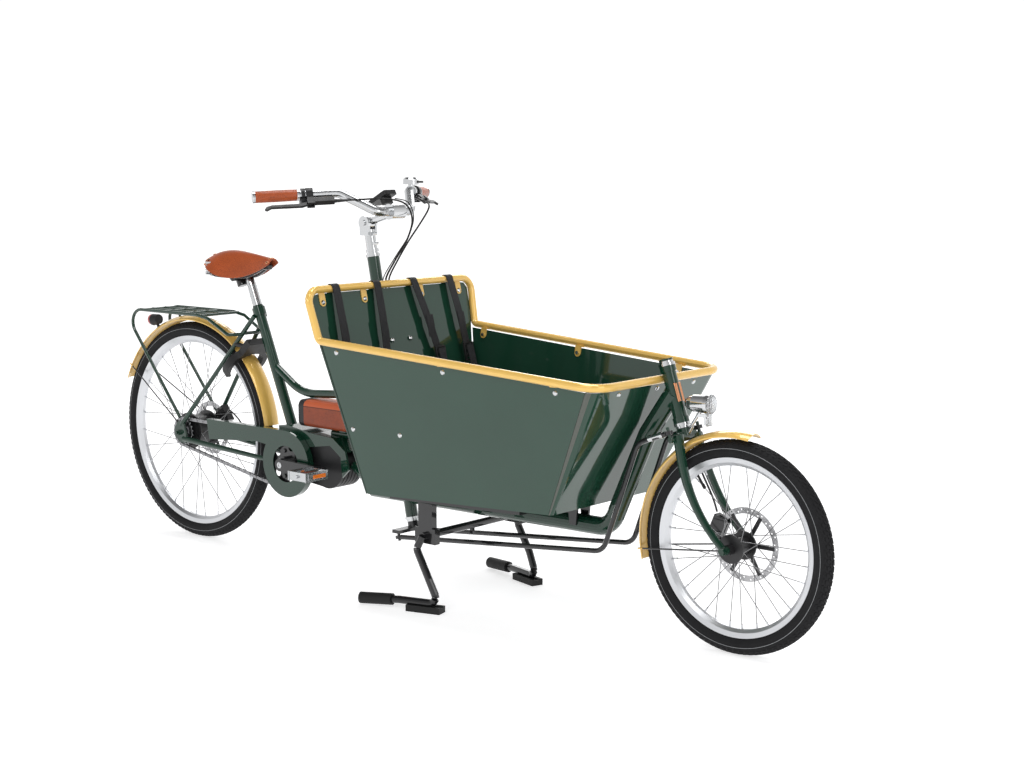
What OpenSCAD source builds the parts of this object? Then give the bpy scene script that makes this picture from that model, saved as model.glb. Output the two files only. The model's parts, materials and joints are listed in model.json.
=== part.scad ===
// Long-wheelbase cargo bicycle: rear-steering-column layout with two tie rods to the front
// fork, a panelled cargo box hung from a tube rim, a mid motor and a two-legged stand.
// +X points forward, +Y to the rider's left, +Z up. The origin lies on the floor under the
// middle of the whole bicycle. Millimetres.

/* [Wheels] */
// Distance between the two wheel axles
wheelbase = 1934; // [1850:1:2050]
// Rear wheel radius over the tyre
rear_wheel_r = 326.5; // [316:0.5:336]
// Front wheel radius over the tyre
front_wheel_r = 252.5; // [244:0.5:258]
// Width of both tyres
tyre_w = 47; // [40:0.5:50]
// Radial depth of tyre that stands above the rim
tyre_h = 41.5; // [38:0.5:44]
// Radial depth of the rims
rim_h = 20; // [16:1:24]
// Number of spokes in each wheel
spoke_count = 32; // [16:16:32]
// Spoke diameter
spoke_d = 2; // [1.8:0.1:2.6]
// Gap between tyre and fender
fender_gap = 12; // [10:1:18]
// Half of the fender width
fender_half_w = 27; // [24:1:30]
// Fender sheet thickness
fender_t = 2; // [1.5:0.5:3]

/* [Frame] */
// Bottom bracket distance ahead of the rear axle
bb_x = 460; // [440:1:480]
// Bottom bracket height above the floor
bb_z = 283; // [275:1:290]
// Seat tube angle from the floor
seat_angle = 67.5; // [66:0.5:70]
// Seat tube length from the bottom bracket
seat_tube_len = 470; // [440:5:520]
// Seat tube diameter
seat_tube_d = 30; // [29:0.5:34]
// Seat post diameter
post_d = 27.2; // [25.4:0.1:27.2]
// Curved top tube diameter
top_tube_d = 24; // [22:1:30]
// Main beam and riser diameter
beam_d = 46; // [40:1:50]
// Steering column tube and head tube diameter
column_d = 34; // [33:1:38]
// Steering column angle from the floor
column_angle = 78.8; // [77:0.1:80]
// Steering column tube length
column_len = 708; // [690:1:730]
// Front head tube angle from the floor
head_angle = 71.5; // [70:0.5:73]
// Front head tube length
head_len = 138; // [125:1:150]
// Chain stay diameter
chain_stay_d = 17; // [15:1:19]
// Seat stay diameter
seat_stay_d = 13; // [11:1:15]
// Rear hub width between the dropouts
rear_hub_w = 135; // [135:1:138]
// Front hub width between the fork ends
front_hub_w = 92; // [90:1:94]

/* [Steering] */
// Side distance of the tie rod joints from the steering axes
steer_arm = 60; // [56:1:64]
// Tie rod diameter
tie_rod_d = 13; // [10:1:15]
// Half of the handlebar width
bar_half_w = 325; // [300:5:350]
// Handlebar diameter
bar_d = 25.4; // [25.4:0.1:26]
// Leather grip diameter
grip_d = 30; // [29:0.5:33]
// Leather grip length
grip_len = 115; // [105:1:125]

/* [Cargo box] */
// Panel thickness
panel_t = 6; // [4:1:8]
// Rim tube diameter
rim_tube_d = 20; // [18:1:22]
// Height of the bench above the floor
bench_z = 462; // [440:1:480]
// Depth of the bench
bench_depth = 240; // [200:5:280]
// Harness webbing width
strap_w = 25; // [20:1:30]

/* [Drive] */
// Teeth of the chainring
ring_teeth = 38; // [34:2:40]
// Teeth of the rear sprocket
sprocket_teeth = 20; // [18:1:21]
// Crank arm length
crank_len = 170; // [160:1:175]
// Side distance of the chain from the middle
chain_line = 56; // [55:0.5:57]
// Crank spindle diameter
spindle_d = 22; // [20:0.5:24]

/* [Stand] */
// Stand tube diameter
stand_d = 20; // [18:1:22]
// Side distance of the stand brackets from the middle
bracket_y = 171; // [168:1:174]

/* [Fits] */
// Clearance on the diameter of turning and sliding fits
running = 0.08; // [0.04:0.01:0.1]
// Gap between parts that move past each other
free_gap = 1; // [0.8:0.1:1.5]

/* [Hidden] */
$fn = 48;
// The rear axle's X in the part's frame, with the origin under the middle of the length
rear_x = -(wheelbase + front_wheel_r - rear_wheel_r) / 2;

// A point given from the floor under the rear axle, put in the part's frame
function B(x, y, z) = [rear_x + x, y, z];
function unit(v) = v / norm(v);
function flip(p) = [p.x, -p.y, p.z];
function flip_all(path) = [for (p = path) flip(p)];

rear_axle = B(0, 0, rear_wheel_r);
front_axle = B(wheelbase, 0, front_wheel_r);
bb = B(bb_x, 0, bb_z);
seat_dir = [-cos(seat_angle), 0, sin(seat_angle)];
seat_top = bb + seat_dir * seat_tube_len;
column_dir = [-cos(column_angle), 0, sin(column_angle)];
column_foot = B(892, 0, 182);
column_top = column_foot + column_dir * column_len;
head_dir = [-cos(head_angle), 0, sin(head_angle)];
head_foot = B(wheelbase - 160, 0, front_wheel_r + 274.5);
head_top = head_foot + head_dir * head_len;
function on_column(z) = column_foot + column_dir * ((z - column_foot.z) / column_dir.z);
function on_head(z) = head_foot + head_dir * ((z - head_foot.z) / head_dir.z);
function on_seat(z) = bb + seat_dir * ((z - bb.z) / seat_dir.z);

// Corner of a path rounded to radius r with k steps
function corner(a, b, c, r, k) =
    let (u = unit(b - a), v = unit(c - b), turn = acos(u * v), n = unit(v - u * (u * v)))
    let (s = b - u * (r * tan(turn / 2)))
    [for (i = [0:k]) s + n * r + r * (u * sin(turn * i / k) - n * cos(turn * i / k))];
function rounded(p, r, k = 6) = [
    p[0], for (i = [1:len(p) - 2]) each corner(p[i - 1], p[i], p[i + 1], r, k), p[len(p) - 1]
];
function rounded_loop(p, r, k = 6) = let (n = len(p))
    [for (i = [0:n - 1]) each corner(p[(i + n - 1) % n], p[i], p[(i + 1) % n], r[i], k)];
function bezier(a, b, c, d, k) = [for (i = [0:k]) let (t = i / k, s = 1 - t)
    a * s * s * s + b * 3 * s * s * t + c * 3 * s * t * t + d * t * t * t];
function catmull(p, i, t) = let (
    a = p[max(i - 1, 0)], b = p[i], c = p[i + 1], d = p[min(i + 2, len(p) - 1)])
    (b * 2 + (c - a) * t + (a * 2 - b * 5 + c * 4 - d) * t * t
        + (b * 3 - a - c * 3 + d) * t * t * t) / 2;
function smooth(p, k) = [
    for (i = [0:len(p) - 2], j = [0:k - 1]) catmull(p, i, j / k), p[len(p) - 1]
];

// Round tube swept along a path of points. ref is a direction the path never takes.
module sweep(p, d, ref = [0, 1, 0], sides = 16, loop = false, d_end = 0) {
    n = len(p);
    last = d_end == 0 ? d : d_end;
    t = [for (i = [0:n - 1]) unit(loop
        ? unit(p[(i + 1) % n] - p[i]) + unit(p[i] - p[(i + n - 1) % n])
        : i == 0 ? p[1] - p[0] : i == n - 1 ? p[i] - p[i - 1]
        : unit(p[i + 1] - p[i]) + unit(p[i] - p[i - 1]))];
    points = [for (i = [0:n - 1]) let (
        x = unit(cross(ref, t[i])), y = cross(t[i], x), r = (d + (last - d) * i / (n - 1)) / 2)
        for (j = [0:sides - 1]) p[i] + r * (x * cos(360 * j / sides) + y * sin(360 * j / sides))];
    rings = loop ? n : n - 1;
    sides_faces = [for (i = [0:rings - 1], j = [0:sides - 1]) let (
        a = i * sides + j, b = i * sides + (j + 1) % sides,
        c = ((i + 1) % n) * sides + (j + 1) % sides, e = ((i + 1) % n) * sides + j)
        each [[a, e, b], [b, e, c]]];
    caps = loop ? [] : [[for (j = [0:sides - 1]) j], [for (j = [sides - 1:-1:0]) (n - 1) * sides + j]];
    polyhedron(points, concat(sides_faces, caps), convexity = 8);
}

// Children are drawn in a frame with its origin at o, its X along x and its Y along y
module axes_at(o, x, y) {
    z = cross(x, y);
    multmatrix([[x.x, y.x, z.x, o.x], [x.y, y.y, z.y, o.y], [x.z, y.z, z.z, o.z], [0, 0, 0, 1]])
        children();
}
// Children's +Z is laid along the line from a to b
module along(a, b) {
    u = unit(b - a);
    x = unit(cross(u, abs(u.y) > 0.9 ? [1, 0, 0] : [0, 1, 0]));
    axes_at(a, x, cross(u, x)) children();
}
module bar(a, b, d, d2 = 0) along(a, b) cylinder(h = norm(b - a), d1 = d, d2 = d2 == 0 ? d : d2);
// Cylinder across the bicycle, centred on point c between the side distances y0 and y1
module cross_cyl(c, y0, y1, d) translate([c.x, y0, c.z]) rotate([-90, 0, 0]) cylinder(h = y1 - y0, d = d);
// Outline in X and Z, in points from the floor under the rear axle, between y0 and y1
module side_plate(p, y0, y1) translate([rear_x, y1, 0]) rotate([90, 0, 0]) linear_extrude(y1 - y0) polygon(p);
module block(lo, hi) translate(lo) cube(hi - lo);
module both_sides() {
    children();
    mirror([0, 1, 0]) children();
}
// Children drawn around Z are turned onto a wheel's axle at point c
module on_axle(c) translate(c) rotate([90, 0, 0]) children();

// ---- Frame ------------------------------------------------------------------------------
seat_foot = bb + seat_dir * 92;
motor_half_w = 38;
drum_x = 603;
drum_z = 288;
drum_d = 122;
cradle_t = 6;
slot_w = 3;
clamp_d = seat_tube_d + 8;
post_depth = 230;

module seat_tube() color("darkgreen") difference() {
    union() {
        bar(seat_foot, seat_top, seat_tube_d);
        bar(seat_top - seat_dir * 30, seat_top - seat_dir * 6, clamp_d);
        cradle();
    }
    bar(seat_top - seat_dir * post_depth, seat_top + seat_dir, post_d + running);
    cross_cyl(bb, -motor_half_w - 9, motor_half_w + 9, spindle_d + 26);
}
module cradle() {
    outline = [
        [bb_x - 48, bb_z + 104], [bb_x - 10, bb_z + 108], [bb_x + 90, bb_z + 94],
        [drum_x + 30, drum_z + 84], [drum_x + 78, drum_z + 52], [drum_x + 92, drum_z + 2],
        [drum_x + 66, drum_z - 22], [drum_x + 60, drum_z + 34], [drum_x + 18, drum_z + 62],
        [bb_x + 60, bb_z + 52], [bb_x + 12, bb_z - 40], [bb_x - 40, bb_z - 30]
    ];
    roof = [
        [bb_x - 48, bb_z + 104], [bb_x - 10, bb_z + 108], [bb_x + 90, bb_z + 94],
        [drum_x + 30, drum_z + 84], [drum_x + 78, drum_z + 52], [drum_x + 70, drum_z + 46],
        [drum_x + 28, drum_z + 74], [bb_x + 88, bb_z + 82], [bb_x - 10, bb_z + 96],
        [bb_x - 40, bb_z + 92]
    ];
    both_sides() side_plate(outline, motor_half_w + free_gap, motor_half_w + free_gap + cradle_t);
    side_plate(roof, -motor_half_w - free_gap - 1, motor_half_w + free_gap + 1);
}

top_tube_path = rounded(
    [B(352, 0, 548), B(465, 0, 478), on_column(505) + [4, 0, 0]], 150, 8);
rail_z = 378;
module top_tubes() color("darkgreen") difference() {
    union() {
        sweep(top_tube_path, top_tube_d, sides = 20);
        bar(B(bb_x + 130, 0, rail_z), on_column(rail_z) + [4, 0, 0], 22);
        for (x = [bb_x + 170, bb_x + 340]) block(B(x, -16, rail_z + 8), B(x + 24, 16, battery_lo.z));
    }
    bar(seat_foot, seat_top, seat_tube_d);
    bar(column_foot, column_top, column_d);
}
beam_path = rounded([
    B(748, 0, 240), B(wheelbase - 368, 0, front_wheel_r - 6), B(wheelbase - 257, 0, front_wheel_r + 240),
    on_head(front_wheel_r + 345)], 55, 8);
module main_tube() color("darkgreen") difference() {
    union() {
        sweep(beam_path, beam_d, sides = 20);
        bar(B(drum_x + 73, 0, drum_z + 10), B(764, 0, 240), column_d);
        bar(head_foot, head_top, column_d);
        bar(column_foot, column_top, column_d);
        for (t = [0, head_len - 14]) bar(head_foot + head_dir * t, head_foot + head_dir * (t + 14), column_d + 5);
    }
    bar(head_foot - head_dir, head_top + head_dir, steerer_d + running);
    bar(column_foot - column_dir, column_top + column_dir, steerer_d + running);
}
steerer_d = 25.4;
dropout_y = rear_hub_w / 2 + 0.3;
dropout_t = 6;
stay_foot = B(16, dropout_y + 3, rear_wheel_r - 18);
stay_end = B(bb_x - 44, motor_half_w + 6, bb_z - 4);
module rear_stays() color("darkgreen") {
    both_sides() {
        difference() {
            side_plate([[-22, rear_wheel_r + 12], [-4, rear_wheel_r + 34], [18, rear_wheel_r + 34], [30, rear_wheel_r - 4],
                [30, rear_wheel_r - 30], [4, rear_wheel_r - 30], [-20, rear_wheel_r - 14]], dropout_y, dropout_y + dropout_t);
            cross_cyl(rear_axle, dropout_y - 1, dropout_y + dropout_t + 1, 10);
        }
        bar(stay_foot, stay_end, chain_stay_d, chain_stay_d - 4);
        difference() {
            bar(stay_low, stay_high, seat_stay_d);
            bar(seat_foot, seat_top + seat_dir, seat_tube_d);
        }
        on_axle([rear_axle.x, dropout_y + dropout_t + 8, rear_axle.z]) cylinder(h = 8, d = 17, $fn = 6);
    }
    cross_cyl(B(372, 0, bb_z), -46, 46, 12);
    cross_cyl(B(248, 0, 637), -28, 28, 10);
    cross_cyl(rear_axle, -dropout_y - dropout_t - 14, dropout_y + dropout_t + 14, 9.5);
}
cup_t = 3;
module headset_cups() color("silver") {
    for (e = [[head_foot, -head_dir], [head_top, head_dir], [column_foot, -column_dir], [column_top, column_dir]])
        difference() {
            union() {
                bar(e[0], e[0] + e[1] * 7, column_d + 2 * cup_t);
                bar(e[0] + e[1] * 7, e[0] + e[1] * 12, column_d - 1);
            }
            bar(e[0] - e[1], e[0] + e[1] * 13, steerer_d + 2 * running);
        }
}

// ---- Drive and battery --------------------------------------------------------------------
module motor() color("dimgray") difference() {
    union() {
        cross_cyl(bb, -motor_half_w, motor_half_w, 84);
        cross_cyl(B(drum_x, 0, drum_z), -motor_half_w, motor_half_w, drum_d);
        side_plate([[bb_x - 5, bb_z + 41], [drum_x, drum_z + 60], [drum_x, drum_z - 60], [bb_x - 5, bb_z - 41]],
            -motor_half_w, motor_half_w);
    }
    cross_cyl(bb, -motor_half_w - 1, motor_half_w + 1, spindle_d + running);
    for (i = [-2:2]) rib_groove(i * 13);
}
module rib_groove(y) on_axle(B(drum_x, y + 1.5, drum_z)) difference() {
    cylinder(h = 3, d = drum_d + 6);
    translate([0, 0, -1]) cylinder(h = 5, d = drum_d - 5);
    translate([-200, -100, -1]) cube([175, 200, 5]);
    translate([-40, 20, -1]) cube([120, 60, 5]);
}
battery_lo = B(494, -44, rail_z + 14);
battery_hi = B(808, 44, rail_z + 90);
module battery() color("saddlebrown") {
    w = battery_hi.y - battery_lo.y;
    h = battery_hi.z - battery_lo.z;
    translate([battery_lo.x, 0, battery_lo.z + h / 2]) rotate([0, 90, 0]) linear_extrude(battery_hi.x - battery_lo.x)
        rounded_rect(h, w, 18);
}
module rounded_rect(a, b, r) {
    square([a, b - 2 * r], center = true);
    square([a - 2 * r, b], center = true);
    for (i = [-1, 1], j = [-1, 1]) translate([i * (a / 2 - r), j * (b / 2 - r)]) circle(r = r);
}
link = 12.7;
ring_r = link / (2 * sin(180 / ring_teeth));
sprocket_r = link / (2 * sin(180 / sprocket_teeth));
case_r = 95;
case_y = -chain_line;
case_depth = 20;
module case_shape(cut) {
    translate([bb.x, bb.z]) circle(r = case_r - cut);
    polygon([
        [rear_x + 118 + cut, bb_z + case_r - cut], [bb.x, bb_z + case_r - cut], [bb.x, bb_z + 40],
        [rear_x + 340, bb_z + 52 + cut / 2], [rear_x + 128 + cut, bb_z + 36 + cut]]);
}
module chaincase() color("darkgreen") translate([0, case_y + case_depth / 2, 0]) rotate([90, 0, 0]) difference() {
    linear_extrude(case_depth) case_shape(0);
    translate([0, 0, -1]) linear_extrude(case_depth - 1.5) case_shape(2);
    translate([bb.x, bb.z, -2]) cylinder(h = case_depth + 4, r = 52);
    translate([0, 0, -1]) linear_extrude(case_depth - 1.5) chain_outline(sprocket_r + 8, ring_r + 8);
    translate([0, 0, case_y + case_depth / 2]) rotate([-90, 0, 0])
        bar(flip(stay_foot), flip(stay_end), chain_stay_d + 3, chain_stay_d - 1);
}
// Loop around two circles, from the rear axle to the bottom bracket, as one outline
module chain_outline(r0, r1) {
    a = [rear_axle.x, rear_axle.z];
    b = [bb.x, bb.z];
    ang = atan2(b.y - a.y, b.x - a.x);
    tilt = asin((r1 - r0) / norm(b - a));
    polygon(concat(
        [for (i = [0:20]) let (t = ang + 90 + tilt + i * (180 - 2 * tilt) / 20) a + r0 * [cos(t), sin(t)]],
        [for (i = [0:28]) let (t = ang - 90 - tilt + i * (180 + 2 * tilt) / 28) b + r1 * [cos(t), sin(t)]]));
}
module chain() color("gray") translate([0, 3.2 - chain_line, 0]) rotate([90, 0, 0]) linear_extrude(6.4) difference() {
    chain_outline(sprocket_r + 4, ring_r + 4);
    chain_outline(sprocket_r - 3, ring_r - 3);
}
module toothed(r, teeth, t, y) on_axle([0, y, 0]) linear_extrude(t, center = true)
    circle(r = r - 4.2, $fn = 96);
module rear_sprocket() color("gray") translate(rear_axle) difference() {
    union() {
        toothed(sprocket_r, sprocket_teeth, 2.4, -chain_line);
        cross_cyl([0, 0, 0], -chain_line - 4, -chain_line + 5, 46);
    }
    cross_cyl([0, 0, 0], -chain_line - 5, -chain_line + 6, 16);
}
crank_y = chain_line + 20;
module crank_arm(dir, y0) {
    e = bb + [dir * crank_len, 0, 0];
    side_plate([[bb_x - 2, bb_z + 16], [bb_x + dir * crank_len, bb_z + 12], [bb_x + dir * crank_len, bb_z - 12],
        [bb_x - 2, bb_z - 16]], y0, y0 + 13);
    cross_cyl(e, y0, y0 + 13, 26);
    cross_cyl(bb, y0, y0 + 13, 36);
}
module crankset() color("dimgray") difference() {
    union() {
        cross_cyl(bb, -crank_y - 2, crank_y + 2, spindle_d);
        translate([0, 0, 0]) crank_arm(1, -crank_y - 13);
        crank_arm(-1, crank_y);
        translate(bb) toothed(ring_r, ring_teeth, 3, -chain_line);
        cross_cyl(bb, -crank_y, -chain_line, 44);
        for (i = [0:4]) translate(bb) rotate([0, 36 + 72 * i, 0]) translate([38, 3 - chain_line, 0])
            rotate([90, 0, 0]) cylinder(h = 9, d = 12);
    }
    for (i = [0:4]) translate(bb) rotate([0, 72 * i, 0]) translate([50, -chain_line + 4, 0]) rotate([90, 0, 0])
        cylinder(h = 8, d = 22);
    cross_cyl(bb + [crank_len, 0, 0], -crank_y - 14, -crank_y + 1, pedal_pin_d);
    cross_cyl(bb - [crank_len, 0, 0], crank_y - 1, crank_y + 14, pedal_pin_d);
    cross_cyl(bb, -crank_y - 14, -crank_y - 4, 12);
    cross_cyl(bb, crank_y + 4, crank_y + 14, 12);
}
pedal_pin_d = 9;
pedal_w = 92;
// A cage pedal on the +Y side of its crank; the pin turns in the crank's eye
module pedal(c) {
    y0 = crank_y + 13 + free_gap;
    difference() {
        union() {
            cross_cyl(c, crank_y + 0.2, y0 + pedal_w, pedal_pin_d - running);
            cross_cyl(c, y0, y0 + pedal_w - 6, 22);
            for (s = [-1, 1]) {
                block(c + [s * 34 - 1.5, y0 + 6, -13], c + [s * 34 + 1.5, y0 + pedal_w - 4, 13]);
                block(c + [s * 35 - 2.5, y0 + 12, -9], c + [s * 35 + 2.5, y0 + 26, 9]);
                block(c + [s * 35 - 2.5, y0 + 46, -9], c + [s * 35 + 2.5, y0 + 78, 9]);
            }
            for (y = [y0 + 8, y0 + pedal_w - 8]) block(c + [-34, y - 2, -12], c + [34, y + 2, 12]);
        }
        for (s = [-1, 1], y = [y0 + 36]) translate(c + [s * 34, y, 0]) cube([8, 14, 14], center = true);
    }
}
module right_pedal() color("silver") mirror([0, 1, 0]) pedal(bb + [crank_len, 0, 0]);
module left_pedal() color("silver") pedal(bb - [crank_len, 0, 0]);

// ---- Wheels -----------------------------------------------------------------------------------
module tyre(c, r) on_axle(c) rotate_extrude($fn = 96) difference() {
    translate([r - tyre_w / 2, 0]) circle(d = tyre_w);
    translate([r - tyre_w - 20, -tyre_w / 2]) square([tyre_w + 20 - tyre_h, tyre_w]);
}
rim_wall = 2;
function spoke_twist(i) = floor(i / 2) % 2 == 0 ? 42 : -42;
module rim(c, r, hub_r, flange) {
    rim_r = r - tyre_h;
    on_axle(c) {
        rotate_extrude($fn = 96) difference() {
            polygon([[rim_r, -15], [rim_r, 15], [rim_r - rim_h * 0.6, 12], [rim_r - rim_h, 5],
                [rim_r - rim_h, -5], [rim_r - rim_h * 0.6, -12]]);
            polygon([[rim_r - 2 * rim_wall, -11], [rim_r - 2 * rim_wall, 11], [rim_r - rim_h + rim_wall, 4],
                [rim_r - rim_h + rim_wall, -4]]);
        }
        for (i = [0:spoke_count - 1]) spoke(360 * (i + 0.5) / spoke_count, rim_r - rim_h + 1, hub_r, flange, i);
    }
}
module spoke(a, rim_r, hub_r, flange, i) {
    s = i % 2 == 0 ? 1 : -1;
    e = [rim_r * cos(a), rim_r * sin(a), s * 3];
    h = [hub_r * cos(a + spoke_twist(i)), hub_r * sin(a + spoke_twist(i)), s * flange];
    along_z(h, e) cylinder(h = norm(e - h), d = spoke_d, $fn = 16);
    along_z(e, h) cylinder(h = 13, d = spoke_d * 2, $fn = 16);
}
// Children's +Z is laid along the line from a to b, for lines that never run along X
module along_z(a, b) {
    u = unit(b - a);
    x = unit(cross(u, [0, 0, 1]));
    axes_at(a, x, cross(u, x)) children();
}
module rotor(r, y) on_axle([0, y, 0]) linear_extrude(1.8, center = true) difference() {
    circle(r = r, $fn = 96);
    circle(r = r - 15);
    for (i = [0:17], k = [0:1]) rotate(20 * i + 7 * k) translate([r - 5 - 5 * k, 0]) circle(d = 4.4, $fn = 16);
}
module spider(r, y) on_axle([0, y, 0]) linear_extrude(3, center = true) {
    circle(r = 28);
    for (i = [0:5]) rotate(60 * i) translate([0, -5]) square([r - 10, 10]);
}
axle_d = 9.5;
front_flange_y = 27;
front_hub_r = 30;
module front_hub() color("dimgray") translate(front_axle) difference() {
    union() {
        cross_cyl([0, 0, 0], -front_hub_w / 2 + free_gap, front_hub_w / 2 - free_gap, 24);
        cross_cyl([0, 0, 0], -25, 25, 46);
        for (s = [-1, 1]) cross_cyl([0, 0, 0], s * front_flange_y - 2, s * front_flange_y + 2, 2 * front_hub_r + 8);
        spider(88, front_rotor_y);
        rotor(88, front_rotor_y);
    }
    cross_cyl([0, 0, 0], -60, 60, axle_d + running);
}
front_rotor_y = 37;
rear_rotor_y = 50;
rear_flange_y = 34;
rear_hub_r = 50;
module rear_hub() color("dimgray") translate(rear_axle) difference() {
    union() {
        cross_cyl([0, 0, 0], -46, 58, 40);
        cross_cyl([0, 0, 0], -42, 42, 88);
        for (s = [-1, 1]) cross_cyl([0, 0, 0], s * rear_flange_y - 2.5, s * rear_flange_y + 2.5, 2 * rear_hub_r + 10);
        spider(80, rear_rotor_y);
        rotor(80, rear_rotor_y);
    }
    cross_cyl([0, 0, 0], -80, 80, axle_d + running);
}
module front_tyre() color("black") tyre(front_axle, front_wheel_r);
module rear_tyre() color("black") tyre(rear_axle, rear_wheel_r);
module front_rim() color("silver") rim(front_axle, front_wheel_r, front_hub_r, front_flange_y);
module rear_rim() color("silver") rim(rear_axle, rear_wheel_r, rear_hub_r, rear_flange_y);

// ---- Fenders, rack, lamps, lock ---------------------------------------------------------------
crown_r = 38;
// Crowned fender strip around axle c from angle a0, through sweep degrees
module fender(c, wheel_r, a0, turn) translate(c) rotate([90, -a0, 0]) rotate_extrude(angle = turn, $fn = 96)
    intersection() {
        translate([wheel_r + fender_gap + 8 - crown_r, 0]) difference() {
            circle(r = crown_r);
            circle(r = crown_r - fender_t);
        }
        translate([wheel_r + fender_gap - 8, -fender_half_w]) square([40, 2 * fender_half_w]);
    }
module rear_fender() color("goldenrod") {
    fender(rear_axle, rear_wheel_r, 8, 149);
    both_sides() bar(B(-6, dropout_y - 3, rear_wheel_r + 20),
        rear_axle + [-cos(32), 0, sin(32)] * (rear_wheel_r + fender_gap + 2) + [0, fender_half_w + 1, 0], 4);
}
module front_fender() color("goldenrod") {
    fender(front_axle, front_wheel_r, 81, 113);
    both_sides() bar(front_axle + [-10, front_hub_w / 2 + 4, -2],
        front_axle + [-cos(8), 0, -sin(8)] * (front_wheel_r + fender_gap + 2) + [0, fender_half_w + 1, 0], 4);
}
rack_y = 70;
rack_z = 684;
rack_front = rounded([B(246, 29, 634), B(222, 66, 634), B(140, rack_y, rack_z - 8), B(90, rack_y, rack_z)], 12, 4);
rack_bend = corner(B(90, rack_y, rack_z), B(-262, rack_y, rack_z), B(2, rack_y, 380), 40, 8);
rack_tube_d = 10;
module rack_side() {
    sweep(rack_front, rack_tube_d, ref = [0.1, 1, 0.05], sides = 12);
    bar(B(90, rack_y, rack_z), rack_bend[0], rack_tube_d);
    sweep(rack_bend, rack_tube_d, sides = 12);
    bar(rack_bend[len(rack_bend) - 1], B(2, rack_y + 2, 372), rack_tube_d);
}
module rack() color("darkgreen") {
    both_sides() rack_side();
    for (x = [-176, -80, 20, 112]) cross_cyl(B(x, 0, rack_z - 1), -rack_y, rack_y, 8);
    for (y = [-24, 24]) bar(B(-176, y, rack_z), B(112, y, rack_z), 8);
    bar(B(-80, 0, rack_z), rear_axle + unit([-80, 0, rack_z - rear_wheel_r]) * (rear_wheel_r + fender_gap + 7), 8);
}
lamp_r = rear_wheel_r + fender_gap + 36;
lamp_dir = [-sin(31), 0, cos(31)];
module tail_lamp() color("firebrick") {
    c = rear_axle + lamp_dir * lamp_r;
    along(c + [16, 0, 2], c - [16, 0, 2]) {
        cylinder(h = 26, d1 = 30, d2 = 36);
        translate([0, 0, 25]) cylinder(h = 10, d1 = 35, d2 = 30);
    }
    bar(rear_axle + lamp_dir * (lamp_r - 30), c, 9);
}
lock_angle = 45;
lock_r = rear_wheel_r - 17;
lock_dir = [cos(lock_angle), 0, sin(lock_angle)];
lock_c = rear_axle + lock_dir * lock_r;
lock_in = 53;
// Children drawn flat, with X pointing away from the axle, in the lock's own plane
module in_lock_plane(t) axes_at(lock_c, lock_dir, [0, 1, 0]) translate([0, 0, t]) children();
stay_low = B(6, dropout_y + 3, rear_wheel_r + 22);
stay_high = on_seat(seat_top.z - 28) + [-4, 20, 0];
module stay_gap(extra) both_sides() bar(stay_low, stay_high, seat_stay_d + extra);
module ring_lock() color("black") {
    difference() {
        both_sides() bar(lock_c + lock_dir * 75 + [0, 34, 0], stay_low + (stay_high - stay_low) * 0.75, 13);
        stay_gap(0);
    }
    in_lock_plane(-11) difference() {
        union() {
            cylinder(h = 22, r = lock_in + 15);
            translate([20, -46, 0]) cube([78, 92, 22]);
        }
        translate([0, 0, -1]) cylinder(h = 24, r = lock_in);
        translate([-100, -lock_in + 16, -1]) cube([100, 2 * lock_in - 32, 24]);
        translate([-120, -100, -1]) cube([76, 200, 24]);
        translate([0, 0, 5]) rotate_extrude($fn = 96) translate([lock_in + 1, 0]) square([12, 12]);
        rotate(-58) rotate_extrude(angle = 182, $fn = 96) translate([lock_in + 2.5, 12]) square([9, 14]);
    }
}
// The sliding bow of the ring lock, kept in the housing's groove while the lock is open
module lock_shackle() color("silver") in_lock_plane(0) {
    rotate(-bow_turn / 2) rotate_extrude(angle = bow_turn, $fn = 96) translate([lock_in + 7, 0]) circle(d = 8);
    rotate(-50) translate([lock_in + 7, 0, 0]) cylinder(h = 14, d = 7);
}
bow_turn = 116;
module caliper(c, a, y) translate(c) rotate([0, a, 0]) {
    difference() {
        block([-26, y - 11, -18], [26, y + 13, 18]);
        block([-30, y - 2.5, -19], [30, y + 2.5, 10]);
    }
    cross_cyl([-14, 0, 4], y + 12, y + 16, 22);
    cross_cyl([12, 0, 4], y + 12, y + 16, 18);
}
rear_hose = smooth([
    B(80, 50, 390), B(118, 54, 366), B(160, 59, 318), B(230, 57, 305), B(320, 52, 299), B(404, 47, 293)], 4);
front_hose = smooth([
    B(1850, 40, 318), B(1834, 43, 352), B(1804, 41, 408), B(1786, 37, 456), B(1776, 30, 492)], 4);
module rear_caliper() color("black") {
    sweep(rear_hose, hose_d, ref = [0.1, 1, 0.1], sides = 8);
    bar(rear_axle + [50, 58, 30], rear_axle + [16, dropout_y + 2, 14], 11);
    caliper_clear_of_stay();
}
module caliper_clear_of_stay() difference() {
    caliper(rear_axle + [62, 0, 44], 55, rear_rotor_y);
    stay_gap(0.4);
}
module front_caliper() color("black") {
    sweep(front_hose, hose_d, ref = [0.1, 1, 0.1], sides = 8);
    front_caliper_body();
}
module front_caliper_body() caliper(front_axle + [-76, 0, 32], -67, front_rotor_y);

// ---- Cargo box ----------------------------------------------------------------------------------
// Outer corners of the right-hand side panel: rear top, front top, front bottom, rear bottom
box_rt = B(858, -290, 669.5);
box_ft = B(1678, -246, 615.5);
box_fb = B(1531, -198, 304);
box_rb = B(945, -219, 283);
rim_rear_z = 680;
rim_front = B(1716, 255, 626);
back_top = B(824, 312, 808);
// Normal of the side panel, pointing into the box
side_n = unit(cross(box_ft - box_rt, box_fb - box_rt));
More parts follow.
